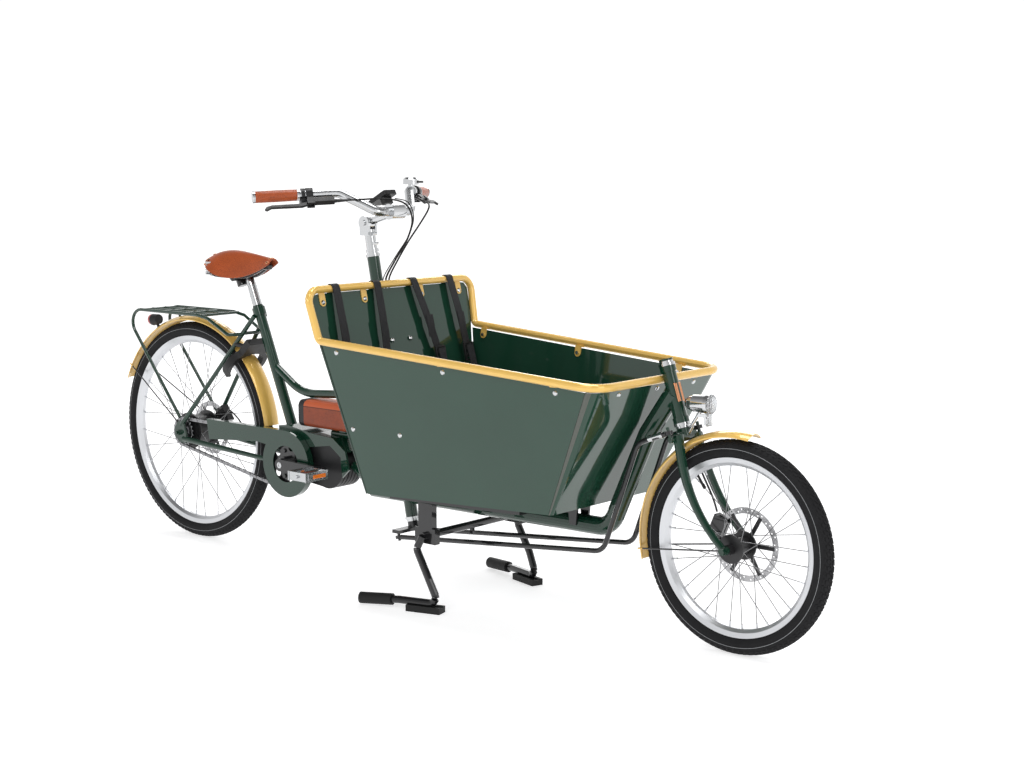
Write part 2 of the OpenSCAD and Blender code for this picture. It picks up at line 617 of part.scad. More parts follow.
// Side distance of the right panel's outer face at a given X and Z
function side_y(x, z) = box_rt.y - (side_n.x * (x - box_rt.x) + side_n.z * (z - box_rt.z)) / side_n.y;
module plate(p, n, t) {
    u = unit(p[1] - p[0]);
    v = cross(n, u);
    axes_at(p[0], u, v) linear_extrude(t) polygon([for (q = p) [(q - p[0]) * u, (q - p[0]) * v]]);
}
module side_panel() plate([box_rt, box_ft, box_fb, box_rb], side_n, panel_t);
bolt_d = 6;
side_bolts = [for (x = [905, 1255, 1592]) [x, box_rt.z - (x - 858) * 0.0659 - 14]];
low_bolts = [[926, bench_z - 8], [1086, bench_z - 8]];
function side_bolt_at(q) = [rear_x + q[0], side_y(rear_x + q[0], q[1]), q[1]];
all_side_bolts = [for (q = concat(side_bolts, low_bolts)) side_bolt_at(q)];
module side_holes() for (c = all_side_bolts) bar(c - side_n * 5, c + side_n * (panel_t + 5), bolt_d);
module right_panel() color("darkslategray") difference() {
    side_panel();
    side_holes();
}
module left_panel() color("darkslategray") mirror([0, 1, 0]) difference() {
    side_panel();
    side_holes();
}
// Front panel: a loft between a widely rounded top line and a tightly rounded bottom line
function half_line(p, r, t, front_x) = let (c = [front_x - r, p.y + r])
    [for (i = [0:6]) [c.x + (r - t) * sin(15 * i) + (i == 0 ? free_gap : 0), c.y - (r - t) * cos(15 * i), p.z]];
function full_line(p, r, t, front_x) = let (h = half_line(p, r, t, front_x))
    concat(h, [for (i = [6:-1:0]) flip(h[i])]);
front_top_x = rim_front.x - 8;
front_low_x = box_fb.x + 9;
front_r = front_top_x - box_ft.x;
module front_panel() color("darkgreen") difference() {
    loft(full_line(box_fb, 9, 0, front_low_x), full_line(box_ft, front_r, 0, front_top_x),
        full_line(box_fb, 9, panel_t, front_low_x), full_line(box_ft, front_r, panel_t, front_top_x));
    for (c = front_bolts) bar(c - front_n * (panel_t + 5), c + front_n * 5, bolt_d);
}
module loft(low, high, low_in, high_in) {
    n = len(low);
    points = concat(low, high, low_in, high_in);
    walls = [for (i = [0:n - 2]) each [
        [i, n + i, i + 1], [i + 1, n + i, n + i + 1],
        [2 * n + i, 2 * n + i + 1, 3 * n + i], [2 * n + i + 1, 3 * n + i + 1, 3 * n + i],
        [n + i, 3 * n + i, n + i + 1], [n + i + 1, 3 * n + i, 3 * n + i + 1],
        [i, i + 1, 2 * n + i], [i + 1, 2 * n + i + 1, 2 * n + i]]];
    ends = [[0, 2 * n, n], [n, 2 * n, 3 * n], [n - 1, 2 * n - 1, 3 * n - 1], [2 * n - 1, 4 * n - 1, 3 * n - 1]];
    polyhedron(points, concat(walls, ends), convexity = 4);
}
front_n = unit([box_ft.z - box_fb.z, 0, front_low_x - front_top_x]);
// Point on the front panel's outer face
function on_front(y, z) = [front_low_x + (front_top_x - front_low_x) * (z - box_fb.z) / (box_ft.z - box_fb.z), y, z];
front_bolts = [for (y = [-150, 0, 150]) on_front(y, box_ft.z - 12.5)];
back_dir = unit([back_top.x - box_rb.x - 6, 0, back_top.z - box_rb.z]);
back_n = [back_dir.z, 0, -back_dir.x];
function on_back(y, z) = [box_rb.x + 2, y, box_rb.z] + back_dir * ((z - box_rb.z) / back_dir.z);
back_bolts = [for (y = [-34, 34]) on_back(y, 660)];
tab_back = [for (y = [-258, -108, 108, 258]) on_back(y, back_top.z - 34)];
module back_panel() color("darkgreen") {
    edge = -side_y(box_rb.x, box_rb.z) - panel_t - 1;
    brow = -side_y(box_rt.x + 5, 664) - panel_t - 1;
    inner = back_top.y - rim_tube_d / 2 - 2;
    half = [[edge, box_rb.z], [brow, 664], [inner - 14, 702], [inner - 4, 780], [inner - 14, 794], [inner - 34, 797]];
    outline = concat([for (q = half) on_back(q[0], q[1])], [for (i = [5:-1:0]) on_back(-half[i][0], half[i][1])]);
    difference() {
        plate_yz(outline, panel_t);
        for (c = concat(back_bolts, tab_back)) bar(c - back_n * 12, c + back_n * 6, bolt_d);
    }
}
module plate_yz(p, t) axes_at(p[0] - back_n * t, [0, 1, 0], back_dir) linear_extrude(t)
    polygon([for (q = p) [q.y - p[0].y, (q - p[0]) * back_dir]]);
floor_t = 8;
floor_dir = unit([box_fb.x - box_rb.x, 0, box_fb.z - box_rb.z]);
floor_n = [-floor_dir.z, 0, floor_dir.x];
module floor_panel() color("darkgreen") {
    r = [box_rb.x + 4, side_y(box_rb.x, box_rb.z) + panel_t + 2, box_rb.z + 1];
    f = [box_fb.x - 4, side_y(box_fb.x, box_fb.z) + panel_t + 2, box_fb.z + 1];
    plate([r, f, flip(f), flip(r)], floor_n, floor_t);
}
bench_t = 12;
module bench() color("darkgreen") {
    x0 = on_back(0, bench_z - bench_t).x + 1;
    x1 = x0 + bench_depth;
    y0 = -side_y(x0, bench_z - bench_t) - panel_t - 2;
    y1 = -side_y(x1, bench_z - bench_t) - panel_t - 2;
    difference() {
        translate([0, 0, bench_z - bench_t]) linear_extrude(bench_t) polygon([[x0, -y0], [x1, -y1], [x1, y1], [x0, y0]]);
        for (s = [0, 1]) mirror([0, s, 0]) for (q = low_bolts)
            bar(side_bolt_at(q), side_bolt_at(q) + side_n * 30, 10.2);
    }
    foot = -side_y(x1, box_fb.z) - panel_t - 4;
    low = box_rb.z + floor_t + 3 + (x1 - box_rb.x) * floor_dir.z / floor_dir.x;
    axes_at([x1 - 30, 0, 0], [0, 1, 0], [0, 0, 1]) linear_extrude(bench_t)
        polygon([[-foot, low], [foot, low], [y1 - 2, bench_z - bench_t], [-y1 + 2, bench_z - bench_t]]);
}
rim_corners = [
    B(855, -297, rim_rear_z), flip(rim_front), rim_front, B(855, 297, rim_rear_z),
    back_top, flip(back_top)
];
module box_rim() color("goldenrod") {
    sweep(rounded_loop(rim_corners, [14, 60, 60, 14, 34, 34], 7), rim_tube_d, ref = [0.31, 0.13, 0.94], sides = 16, loop = true);
    for (s = [0, 1]) mirror([0, s, 0]) for (q = side_bolts) rim_tab(side_bolt_at(q) + side_n * panel_t, side_n, 18, panel_t + 6);
    for (c = front_bolts) rim_tab(c - front_n * panel_t, -front_n, 18, panel_t + 4);
    for (c = tab_back) rim_tab(c, back_n, 27, 0);
}
tab_t = 2.5;
// A tab with a round foot behind a panel's bolt, and a hook over the panel's edge to the rim tube
module rim_tab(c, n, h, hook) {
    up = unit([0, 0, 1] - n * n.z);
    axes_at(c, cross(up, n), up) difference() {
        union() {
            cylinder(h = tab_t, r = 10);
            translate([-10, 0, 0]) cube([20, h + 2, tab_t]);
            if (hook > 0) translate([-10, 15.6, -hook]) cube([20, 5, hook + tab_t]);
        }
        translate([0, 0, -1]) cylinder(h = tab_t + 2, d = bolt_d);
    }
}
module dome_bolt(c, out, reach) {
    bar(c - out * reach, c + out * 0.5, bolt_d);
    bar(c, c + out * 2, 13, 11);
    bar(c + out * 2, c + out * 3.4, 11, 6);
    bar(c - out * (reach + 4), c - out * reach, 10);
}
module box_bolts() color("silver") {
    for (s = [0, 1]) mirror([0, s, 0]) for (c = all_side_bolts) dome_bolt(c, -side_n, panel_t + tab_t);
    for (c = front_bolts) dome_bolt(c, front_n, panel_t + tab_t);
    for (c = concat(tab_back, back_bolts)) dome_bolt(c + back_n * tab_t, back_n, panel_t + tab_t);
}
rail_w = 20;
rail_h = 14;
rail_x0 = 985;
rail_x1 = 1425;
function floor_z(x) = box_rb.z + (rear_x + x - box_rb.x) * floor_dir.z / floor_dir.x;
pivot = B(1110, 0, 190);
module underframe() color("black") difference() {
    union() {
        both_sides() {
            side_plate([[rail_x0, floor_z(rail_x0)], [rail_x1, floor_z(rail_x1)], [rail_x1, floor_z(rail_x1) - rail_h],
                [rail_x0, floor_z(rail_x0) - rail_h]], bracket_y - 12, bracket_y + rail_w - 12);
            block(pivot + [-24, bracket_y - 10, 12], pivot + [24, bracket_y + 8, 84]);
            block(pivot + [-36, bracket_y - 10, -20], pivot + [34, bracket_y + 8, 20]);
        }
        for (x = [rail_x0 + 6, 1080, rail_x1 - 26]) side_plate([[x, floor_z(x)], [x + 24, floor_z(x + 24)],
            [x + 24, floor_z(x) - rail_h], [x, floor_z(x) - rail_h]], -bracket_y, bracket_y);
        both_sides() side_plate([[1452, floor_z(1452)], [1484, floor_z(1484)], [1478, 244], [1458, 244]], beam_d / 2 - 2, beam_d / 2 + 4);
        side_plate([[1452, floor_z(1452)], [1484, floor_z(1484)], [1483, floor_z(1484) - 8], [1453, floor_z(1452) - 8]],
            -beam_d / 2 - 4, beam_d / 2 + 4);
    }
    cross_cyl(pivot, -bracket_y - 20, bracket_y + 20, stand_d + running);
}
strap_t = 2;
strap_ys = [-216, -66, 74, 216];
// One shoulder strap: up behind the backrest, over the rim tube and down to the bench
module harness() color("black") for (y = strap_ys) {
    r = rim_tube_d / 2 + 0.4;
    low = on_back(y, bench_z + 52) + back_n * 8;
    rear = on_back(y, 560) - back_n * (panel_t + strap_t + 1.5);
    line = function(t) concat([[low.x, low.z] + t * [back_n.x, back_n.z]],
        [for (i = [0:12]) [back_top.x + (r + t) * cos(15 * i), back_top.z + (r + t) * sin(15 * i)]],
        [[rear.x, rear.z] - t * [back_n.x, back_n.z]]);
    inner = line(0);
    translate([0, y + strap_w / 2, 0]) rotate([90, 0, 0]) linear_extrude(strap_w)
        polygon(concat(line(strap_t), [for (i = [len(inner) - 1:-1:0]) inner[i]]));
    axes_at(low + back_n * (strap_t - 1), [0, 1, 0], back_dir) translate([-18, -38, 0]) cube([36, 44, 11]);
}

// ---- Stand -----------------------------------------------------------------------------------------
leg_y = bracket_y + 8 + free_gap + stand_d / 2;
stand_leg = rounded([
    B(1110, leg_y, 190), B(1098, leg_y + 8, 158), B(1140, leg_y + 8, 85), B(1168, leg_y + 2, 24),
    B(1060, leg_y + 32, 24), B(962, leg_y + 60, 18)], 16, 5);
module stand_legs() color("black") {
    cross_cyl(pivot, -leg_y, leg_y, stand_d);
    sweep(stand_leg, stand_d, ref = [0.02, 0.15, 1] , sides = 14);
    sweep(flip_all(stand_leg), stand_d, ref = [0.02, 0.15, 1], sides = 14);
    block(pivot + [-5, -4, -24], pivot + [5, 4, -8]);
}
module stand_feet() color("black") both_sides() {
    dir = unit([-98, 28, 0]);
    side = [-dir.y, dir.x, 0];
    axes_at(B(1176, leg_y - 2, 0), [dir.x, dir.y, 0], side) difference() {
        translate([0, -17, 0]) cube([96, 34, 17]);
        translate([-1, 0, 24]) rotate([0, 90, 0]) cylinder(h = 100, d = stand_d + 0.6);
    }
    bar(B(1040, leg_y + 37.5, 22.6), B(950, leg_y + 63, 17.2), 30);
}

// ---- Rear steering ------------------------------------------------------------------------------------
lever_z = 152;
lever_c = on_column(lever_z);
rod_z = 138;
pin_d = 8;
stem_pivot = on_column(968);
clamp_c = B(838, 0, 1000);
module steering_lever() color("black") {
    bar(on_column(lever_z - 8), column_foot - column_dir * (12 + free_gap), 30);
    bar(column_foot - column_dir * (12 + free_gap), column_top - column_dir * quill_len, steerer_d);
    side_plate([[lever_c.x - rear_x - 13, lever_z - 5], [lever_c.x - rear_x + 13, lever_z - 5],
        [lever_c.x - rear_x + 13, lever_z + 4], [lever_c.x - rear_x - 13, lever_z + 4]], -steer_arm - 10, steer_arm + 10);
    both_sides() bar(lever_c + [0, steer_arm, 0], lever_c + [0, steer_arm, 0] - column_dir * 26, pin_d);
}
quill_len = 120;
module stem_base() color("silver") {
    bar(column_top - column_dir * quill_len, column_top + column_dir * (12 + free_gap), steerer_d);
    bar(column_top + column_dir * (12 + free_gap), column_top + column_dir * (20 + free_gap), 36);
    bar(column_top + column_dir * (20 + free_gap), stem_pivot - column_dir * 20, 30);
    difference() {
        union() {
            for (s = [-1, 1]) {
                cross_cyl(stem_pivot, s * 14 - 4, s * 14 + 4, 38);
                block(stem_pivot + [-15, s * 14 - 4, -34], stem_pivot + [17, s * 14 + 4, 0]);
            }
        }
        cross_cyl(stem_pivot, -30, 30, pin_d + 2);
    }
    for (i = [0, 1]) cross_cyl(column_top + column_dir * (38 + 26 * i) + [16, 0, 0], -8, 8, 10);
}
module stem_arm() color("silver") {
    d = unit(clamp_c - stem_pivot);
    difference() {
        union() {
            cross_cyl(stem_pivot, -9, 9, 36);
            along(stem_pivot, clamp_c) translate([0, 0, 8]) cylinder(h = norm(clamp_c - stem_pivot) - 24, d1 = 18, d2 = 26);
            cross_cyl(clamp_c, -24, 24, 42);
        }
        cross_cyl(clamp_c, -30, 30, bar_d);
    }
    cross_cyl(stem_pivot, -20, 20, pin_d + 2 - running);
    for (s = [-1, 1]) cross_cyl(stem_pivot, min(s * 18.3, s * 22), max(s * 18.3, s * 22), 16);
}
bar_bend = B(762, 132, 1051);
bar_end = [B(0, 0, 0).x + 640, bar_half_w, 1041];
bar_half = rounded([clamp_c, clamp_c + [0, 62, 0], bar_bend, bar_end], 34, 6);
grip_dir = unit(bar_end - bar_bend);
module handlebar() color("silver") {
    n = len(bar_half);
    both_sides() {
        sweep([for (i = [1:n - 2]) bar_half[i]], bar_d, ref = [0.45, 0, 1], sides = 20);
        bar(bar_half[n - 2], bar_end, bar_d);
    }
    cross_cyl(clamp_c, -bar_half[1].y, bar_half[1].y, bar_d);
}
// Children are drawn on the left grip's line, at distance s from the bend: Z runs out along the
// grip, X forward and Y down. lean turns X down around the bar.
module on_bar(s, lean = 0) {
    x = unit(cross(grip_dir, [0, 0, 1]));
    axes_at(bar_bend + grip_dir * s, x, cross(grip_dir, x)) rotate(lean) children();
}
bar_arm = norm(bar_end - bar_bend);
grip_s = bar_arm - grip_len - 4;
module grip() on_bar(0) translate([0, 0, grip_s]) difference() {
    union() {
        cylinder(h = grip_len, d = grip_d);
        for (z = [-5, grip_len - 3]) translate([0, 0, z]) cylinder(h = 8, d = grip_d + 2);
    }
    translate([0, 0, -10]) cylinder(h = grip_len + 30, d = bar_d);
}
module grips() color("saddlebrown") both_sides() grip();
// Brake levers: the pivot stands ahead of the bar, just inside the grip
lever_s = grip_s - 30;
lever_off = 36;
lever_len = 122;
lever_lean = 38;
lever_pin_d = 5;
ear_gap = 8;
module master() on_bar(lever_s, lever_lean) difference() {
    union() {
        translate([0, 0, -9]) cylinder(h = 18, d = bar_d + 9);
        translate([8, -7, -9]) cube([lever_off - 16, 14, 18]);
        translate([lever_off - 14, -7, -62]) cube([15, 14, 60]);
        for (y = [-ear_gap / 2 - 5, ear_gap / 2]) translate([lever_off - 8, y, -9]) cube([16, 5, 20]);
    }
    translate([0, 0, -20]) cylinder(h = 40, d = bar_d);
    translate([lever_off, 40, 2]) rotate([90, 0, 0]) cylinder(h = 80, d = lever_pin_d + running);
    translate([lever_off - 9, -ear_gap / 2, -7]) cube([50, ear_gap, 30]);
}
module brake_masters() color("black") both_sides() master();
module lever_blade() on_bar(lever_s, lever_lean) translate([lever_off, 0, 2]) rotate([90, 0, 0]) {
    cylinder(h = ear_gap + 10, d = lever_pin_d, center = true);
    linear_extrude(ear_gap - 1.6, center = true) {
        circle(d = 11);
        polygon([[-5, 2], [5, 2], [13, 24], [12, lever_len - 18], [20, lever_len - 6], [17, lever_len],
            [8, lever_len - 6], [3, lever_len - 22], [3, 34]]);
    }
}
module left_lever() color("black") lever_blade();
module right_lever() color("black") mirror([0, 1, 0]) lever_blade();
display_c = clamp_c + [-46, 0, 36];
pod_s = grip_s - 13;
shift_pin_d = 5;
module controls() color("black") {
    translate(display_c) rotate([0, -28, 0]) linear_extrude(12, center = true) rounded_rect(70, 46, 6);
    translate(display_c) rotate([0, -28, 0]) translate([10, 0, -14]) cube([14, 30, 20], center = true);
    both_sides() on_bar(pod_s) difference() {
        union() {
            translate([0, 0, -5]) cylinder(h = 9, d = bar_d + 8);
            translate([-14, 9, -8]) cube([30, 15, 15]);
        }
        translate([0, 0, -10]) cylinder(h = 20, d = bar_d);
        translate([6, 16, 0]) rotate([-90, 0, 0]) cylinder(h = 12, d = shift_pin_d + running);
    }
}
// Thumb lever of the gear shifter under the right pod, and the assistance switch under the left
module thumb_lever() on_bar(pod_s) translate([6, 0, 0]) rotate([-90, 0, 0]) {
    translate([0, 0, 17]) cylinder(h = 11, d = shift_pin_d);
    translate([0, 0, 24.4]) cylinder(h = 5, d = 14);
    translate([-26, -5, 24.4]) cube([26, 10, 5]);
}
module shift_lever() color("black") mirror([0, 1, 0]) thumb_lever();
module assist_switch() color("black") thumb_lever();
bell_s = 30;
module bell() color("silver") on_bar(bell_s) {
    difference() {
        translate([0, 0, -6]) cylinder(h = 12, d = bar_d + 6);
        translate([0, 0, -10]) cylinder(h = 20, d = bar_d);
    }
    rotate([90, 0, 0]) difference() {
        union() {
            translate([0, 0, bar_d / 2 + 1]) cylinder(h = 7, d = 16);
            translate([0, 0, bell_base]) cylinder(h = 14, d = bell_d);
            translate([0, 0, bell_base + 14]) cylinder(h = 5, d1 = bell_d, d2 = bell_d - 10);
        }
        translate([0, 0, bell_base + 4]) linear_extrude(6) square_ring();
        translate([striker_r, 0, bell_base - 1]) cylinder(h = 8, d = striker_pin_d + running);
    }
}
bell_d = 44;
bell_base = bar_d / 2 + 6;
striker_pin_d = 3;
striker_r = bell_d / 2 - 4;
module square_ring() translate([bell_d / 2 - 9, -12]) square([12, 24]);
// Striker arm on a pin in the bell's side window
module bell_striker() color("black") on_bar(bell_s) rotate([90, 0, 0]) translate([striker_r, 0, bell_base]) {
    cylinder(h = 7, d = striker_pin_d);
    translate([0, 0, 4.5]) linear_extrude(5) {
        circle(d = 7);
        translate([0, -2.5]) square([16, 5]);
    }
}

// ---- Hoses -----------------------------------------------------------------------------------------
hose_d = 5;
left_hose = smooth([
    B(777, 152, 1031), B(810, 140, 1024), B(846, 122, 1018), B(868, 96, 1002), B(866, 66, 966),
    B(850, 38, 920), B(824, 22, 868), B(800, 14, 820), B(804, 12, 780), B(812, 12, 740)], 4);
right_hose = smooth([
    B(777, -152, 1031), B(818, -112, 1034), B(862, -60, 1036), B(890, -14, 1022), B(892, 10, 980),
    B(870, 12, 926), B(830, 5, 868), B(800, 2, 820), B(804, 0, 780), B(812, 0, 740)], 4);
gear_cable = smooth([
    B(812, 27, 1034), B(850, 38, 1024), B(874, 34, 985), B(868, 20, 936), B(838, 0, 880),
    B(802, -10, 822), B(804, -12, 780), B(812, -12, 740)], 4);
module hoses() color("black") {
    sweep(left_hose, hose_d, ref = [1, 0.3, 0.1], sides = 8);
    sweep(right_hose, hose_d, ref = [1, 0.3, 0.1], sides = 8);
    sweep(gear_cable, 3, ref = [1, 0.3, 0.1], sides = 8);
}

// ---- Tie rods and fork ---------------------------------------------------------------------------------
crown_z = front_wheel_r + 258;
crown = on_head(crown_z);
rod_rear = lever_c + [0, steer_arm, 0] - column_dir * 16;
rod_front = crown + [0, steer_arm, 0];
rod_path = rounded([
    rod_rear + [7, 0, 0.4], B(wheelbase - 345, steer_arm, 201), B(wheelbase - 243, steer_arm, 478),
    rod_front + [-7, 0, -2.5]], 40, 6);
eye_h = 9;
// Play that lets the front eye slide along its pin, since the two steering axes lean differently
front_eye_play = 1.4;
module rod_eye(c, d, dir) difference() {
    bar(c - dir * eye_h / 2, c + dir * eye_h / 2, 20);
    bar(c - dir * 9, c + dir * 9, d);
}
module tie_rod() {
    difference() {
        sweep(rod_path, tie_rod_d, sides = 14);
        bar(rod_rear - column_dir * 12, rod_rear + column_dir * 12, 18);
        bar(rod_front - head_dir * 12, rod_front + head_dir * 12, 18);
    }
    rod_eye(rod_rear, pin_d + running, column_dir);
    rod_eye(rod_front, pin_d + front_eye_play, head_dir);
}
module left_rod() color("black") tie_rod();
module right_rod() color("black") mirror([0, 1, 0]) tie_rod();
blade_y = front_hub_w / 2 + 9;
blade = bezier(crown + [10, blade_y - 19, -8], crown + [34, blade_y - 4, -104], crown + [66, blade_y, -180],
    front_axle + [0, blade_y, 0], 10);
module fork() color("darkgreen") {
    bar(crown, head_top + head_dir * 8, steerer_d);
    bar(head_top + head_dir * (12 + free_gap), head_top + head_dir * (16 + free_gap), 34);
    bar(head_top, head_top + head_dir * (16 + free_gap), 20);
    bar(crown - head_dir * 14, head_foot - head_dir * (12 + free_gap), 32);
    cross_cyl(crown + [4, 0, -14], -blade_y + 19, blade_y - 19, 24);
    both_sides() {
        sweep(blade, 25, sides = 14, d_end = 17);
        cross_cyl(front_axle, blade_y - 9, blade_y + 5, 20);
        on_axle([front_axle.x, blade_y + 13, front_axle.z]) cylinder(h = 8, d = 16, $fn = 6);
        bar(crown + [0, steer_arm, 0] - head_dir * 16, crown + [0, steer_arm, 0] - head_dir * 12, 14);
        bar(crown + [0, steer_arm, 0] - head_dir * 18, crown + [0, steer_arm, 0] + head_dir * 14, pin_d);
        bar(crown + [2, blade_y - 24, 0] - head_dir * 18, crown + [0, steer_arm + 3, 0] - head_dir * 18, 12);
    }
    cross_cyl(front_axle, -blade_y - 12, blade_y + 12, axle_d);
}
lamp_c = B(wheelbase - 106, 0, front_wheel_r + 325);
module headlight() color("silver") {
    along(lamp_c - [40, 0, 1], lamp_c + [40, 0, 1]) {
        cylinder(h = 9, d1 = 22, d2 = 34);
        translate([0, 0, 8]) cylinder(h = 14, d1 = 33, d2 = 41);
        translate([0, 0, 21]) cylinder(h = 38, d1 = 40.8, d2 = 44);
        translate([0, 0, 58]) cylinder(h = 10, d = 48);
    }
    bar(lamp_c + [0, 0, -16], crown + [20, 0, 10], 8);
    bar(crown + [12, 0, -8], crown + [24, 0, 12], 10);
    block(lamp_c + [14, -11, -48], lamp_c + [20, 11, -22]);
    block(lamp_c + [-14, -3, -32], lamp_c + [15, 3, -24]);
}

// ---- Saddle -------------------------------------------------------------------------------------------
post_out = 86;
post_top = seat_top + seat_dir * post_out;
saddle_len = 250;
saddle_c = post_top + [-38, 0, 40];
module seatpost() color("silver") {
    bar(seat_top - seat_dir * (post_depth - 70), post_top - seat_dir * 24, post_d);
    bar(post_top - seat_dir * 24, post_top, post_d, 22);
}
rail_path = rounded([
    saddle_c + [-82, 40, -16], saddle_c + [-82, 36, -34], saddle_c + [-40, 24, -38], saddle_c + [40, 20, -38],
    saddle_c + [110, 8, -6]], 10, 4);
module saddle_frame() color("black") {
    sweep(rail_path, 7, ref = [0.2, 1, 0.3], sides = 10);
    sweep(flip_all(rail_path), 7, ref = [0.2, 1, 0.3], sides = 10);
    cross_cyl(saddle_c + [-4, 0, -38], -32, 32, 22);
    bar(post_top - seat_dir * 6, post_top + seat_dir * 2, 30);
    block(saddle_c + [-18, -24, -48], saddle_c + [12, 24, -36]);
    bar(saddle_c + [0, 0, -42], post_top - seat_dir * 2, 22);
    both_sides() bar(saddle_c + [-82, 46, -32], saddle_c + [-82, 46, 5], 28);
    cross_cyl(saddle_c + [-82, 0, 8], -62, 62, 8);
    block(saddle_c + [104, -12, -12], saddle_c + [124, 12, 4]);
}
// Leather top: a closed crown that narrows from the wide rear to the nose
function saddle_w(t) = 20 + 72 * pow(max(0, 1 - t), 1.5) * (1 - 0.6 * pow(1 - t, 9));
function saddle_crown(t) = 50 * (1 - 0.6 * pow(1 - t, 5)) * (1 - 0.62 * pow(t, 1.1));
function saddle_skirt(t) = -10 - 26 * sin(180 * min(1, 0.1 + t * 0.95)) * (1 - t * 0.35);
function saddle_ring(t) = let (x = -100 + (saddle_len - 8) * t, w = saddle_w(t), c = saddle_crown(t), s = saddle_skirt(t))
    [for (j = [0:15]) let (a = 180 * j / 15, y = w * cos(a), k = pow(abs(cos(a)), 2.6))
        saddle_c + [x, y, c - (c - s) * k]];
module saddle() color("sienna") {
    steps = 12;
    rows = [for (i = [0:steps]) let (t = i / steps) concat(saddle_ring(t), [for (j = [15:-1:0]) saddle_shell(t)[j]])];
    m = 32;
    points = [for (r = rows) each r];
    walls = [for (i = [0:steps - 1], j = [0:m - 1]) let (
        a = i * m + j, b = i * m + (j + 1) % m, c = (i + 1) * m + (j + 1) % m, e = (i + 1) * m + j)
        each [[a, e, b], [b, e, c]]];
    ends = [for (j = [0:14]) each [[j, j + 1, m - 2 - j], [j, m - 2 - j, m - 1 - j]],
        for (j = [0:14]) let (o = steps * m) each [[o + j, o + m - 2 - j, o + j + 1], [o + j, o + m - 1 - j, o + m - 2 - j]]];
    polyhedron(points, concat(walls, ends), convexity = 6);
}
saddle_t = 5;
function saddle_shell(t) = [for (p = saddle_ring(t)) let (q = p - saddle_c, w = saddle_w(t))
    saddle_c + [q.x, q.y * (w - saddle_t) / w, q.z - saddle_t * (1 - pow(abs(q.y) / w, 4))]];

seat_tube();
top_tubes();
main_tube();
rear_stays();
headset_cups();
motor();
battery();
chaincase();
chain();
rear_fender();
rack();
tail_lamp();
ring_lock();
lock_shackle();
rear_caliper();
right_panel();
left_panel();
front_panel();
back_panel();
floor_panel();
bench();
box_rim();
box_bolts();
underframe();
harness();
stand_legs();
stand_feet();
stem_base();
steering_lever();
stem_arm();
handlebar();
grips();
brake_masters();
right_lever();
left_lever();
controls();
shift_lever();
assist_switch();
bell();
bell_striker();
hoses();
right_rod();
left_rod();
fork();
front_fender();
headlight();
front_caliper();
front_tyre();
front_rim();
front_hub();
rear_tyre();
rear_rim();
rear_hub();
rear_sprocket();
crankset();
right_pedal();
left_pedal();
seatpost();
saddle_frame();
saddle();
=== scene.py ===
"""Looks of the cargo bicycle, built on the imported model: pieces, finishes and the studio."""
import json
import math

import bmesh
import bpy
from mathutils import Matrix, Vector


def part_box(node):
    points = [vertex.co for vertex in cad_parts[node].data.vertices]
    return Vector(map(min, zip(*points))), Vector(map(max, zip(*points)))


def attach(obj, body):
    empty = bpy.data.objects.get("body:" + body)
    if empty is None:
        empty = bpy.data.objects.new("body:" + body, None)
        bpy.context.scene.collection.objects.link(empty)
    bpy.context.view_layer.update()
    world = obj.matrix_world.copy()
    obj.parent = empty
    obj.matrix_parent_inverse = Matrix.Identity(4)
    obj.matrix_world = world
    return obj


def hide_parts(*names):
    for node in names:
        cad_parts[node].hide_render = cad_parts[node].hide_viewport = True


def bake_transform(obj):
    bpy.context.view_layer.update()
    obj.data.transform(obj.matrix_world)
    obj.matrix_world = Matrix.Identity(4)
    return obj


bl_info = {
    "name": "Cargo Bicycle Finish",
    "version": (1, 0, 0),
    "blender": (4, 5, 0),
    "location": "View3D > Sidebar > Bicycle",
    "description": "Adds the detailed pieces, finishes and studio of a cargo bicycle to its packed model",
    "category": "Object",
}

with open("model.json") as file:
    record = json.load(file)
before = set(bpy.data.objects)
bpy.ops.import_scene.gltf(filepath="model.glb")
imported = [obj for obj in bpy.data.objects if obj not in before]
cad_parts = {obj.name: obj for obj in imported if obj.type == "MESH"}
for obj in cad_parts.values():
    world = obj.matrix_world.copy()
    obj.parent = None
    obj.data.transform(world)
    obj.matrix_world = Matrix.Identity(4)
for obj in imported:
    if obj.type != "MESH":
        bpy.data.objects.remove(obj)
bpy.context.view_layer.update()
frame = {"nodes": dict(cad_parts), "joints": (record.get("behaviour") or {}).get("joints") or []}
joints = {j["name"]: j for j in frame["joints"]}


def joint_at(name):
    return Vector(joints[name]["pos_m"])


def joint_axis(name):
    return Vector(joints[name]["axis"]).normalized()


rear_axle = joint_at("rear_wheel_spin")
front_axle = joint_at("front_wheel_spin")
spindle = joint_at("crank_spin")
column_foot = joint_at("handlebar_steer")
column_dir = joint_axis("handlebar_steer")
head_foot = joint_at("fork_steer")
head_dir = joint_axis("fork_steer")


def spot(x, y, z):
    """A place in millimetres: x ahead of the rear axle, y to the rider's left, z above the floor."""
    return Vector((rear_axle.x + x / 1000, y / 1000, z / 1000))


grip_dir = (spot(640, 325, 1041) - spot(762, 132, 1051)).normalized()
grip_end = spot(640, 325, 1041)


# ---- Finishes -------------------------------------------------------------------------------

def sign(operation, swapped=False):
    """One arithmetic sign between a value and another value or a number."""
    def work(self, other):
        first, second = (other, self) if swapped else (self, other)
        return self._sum(operation, first, second)
    return work


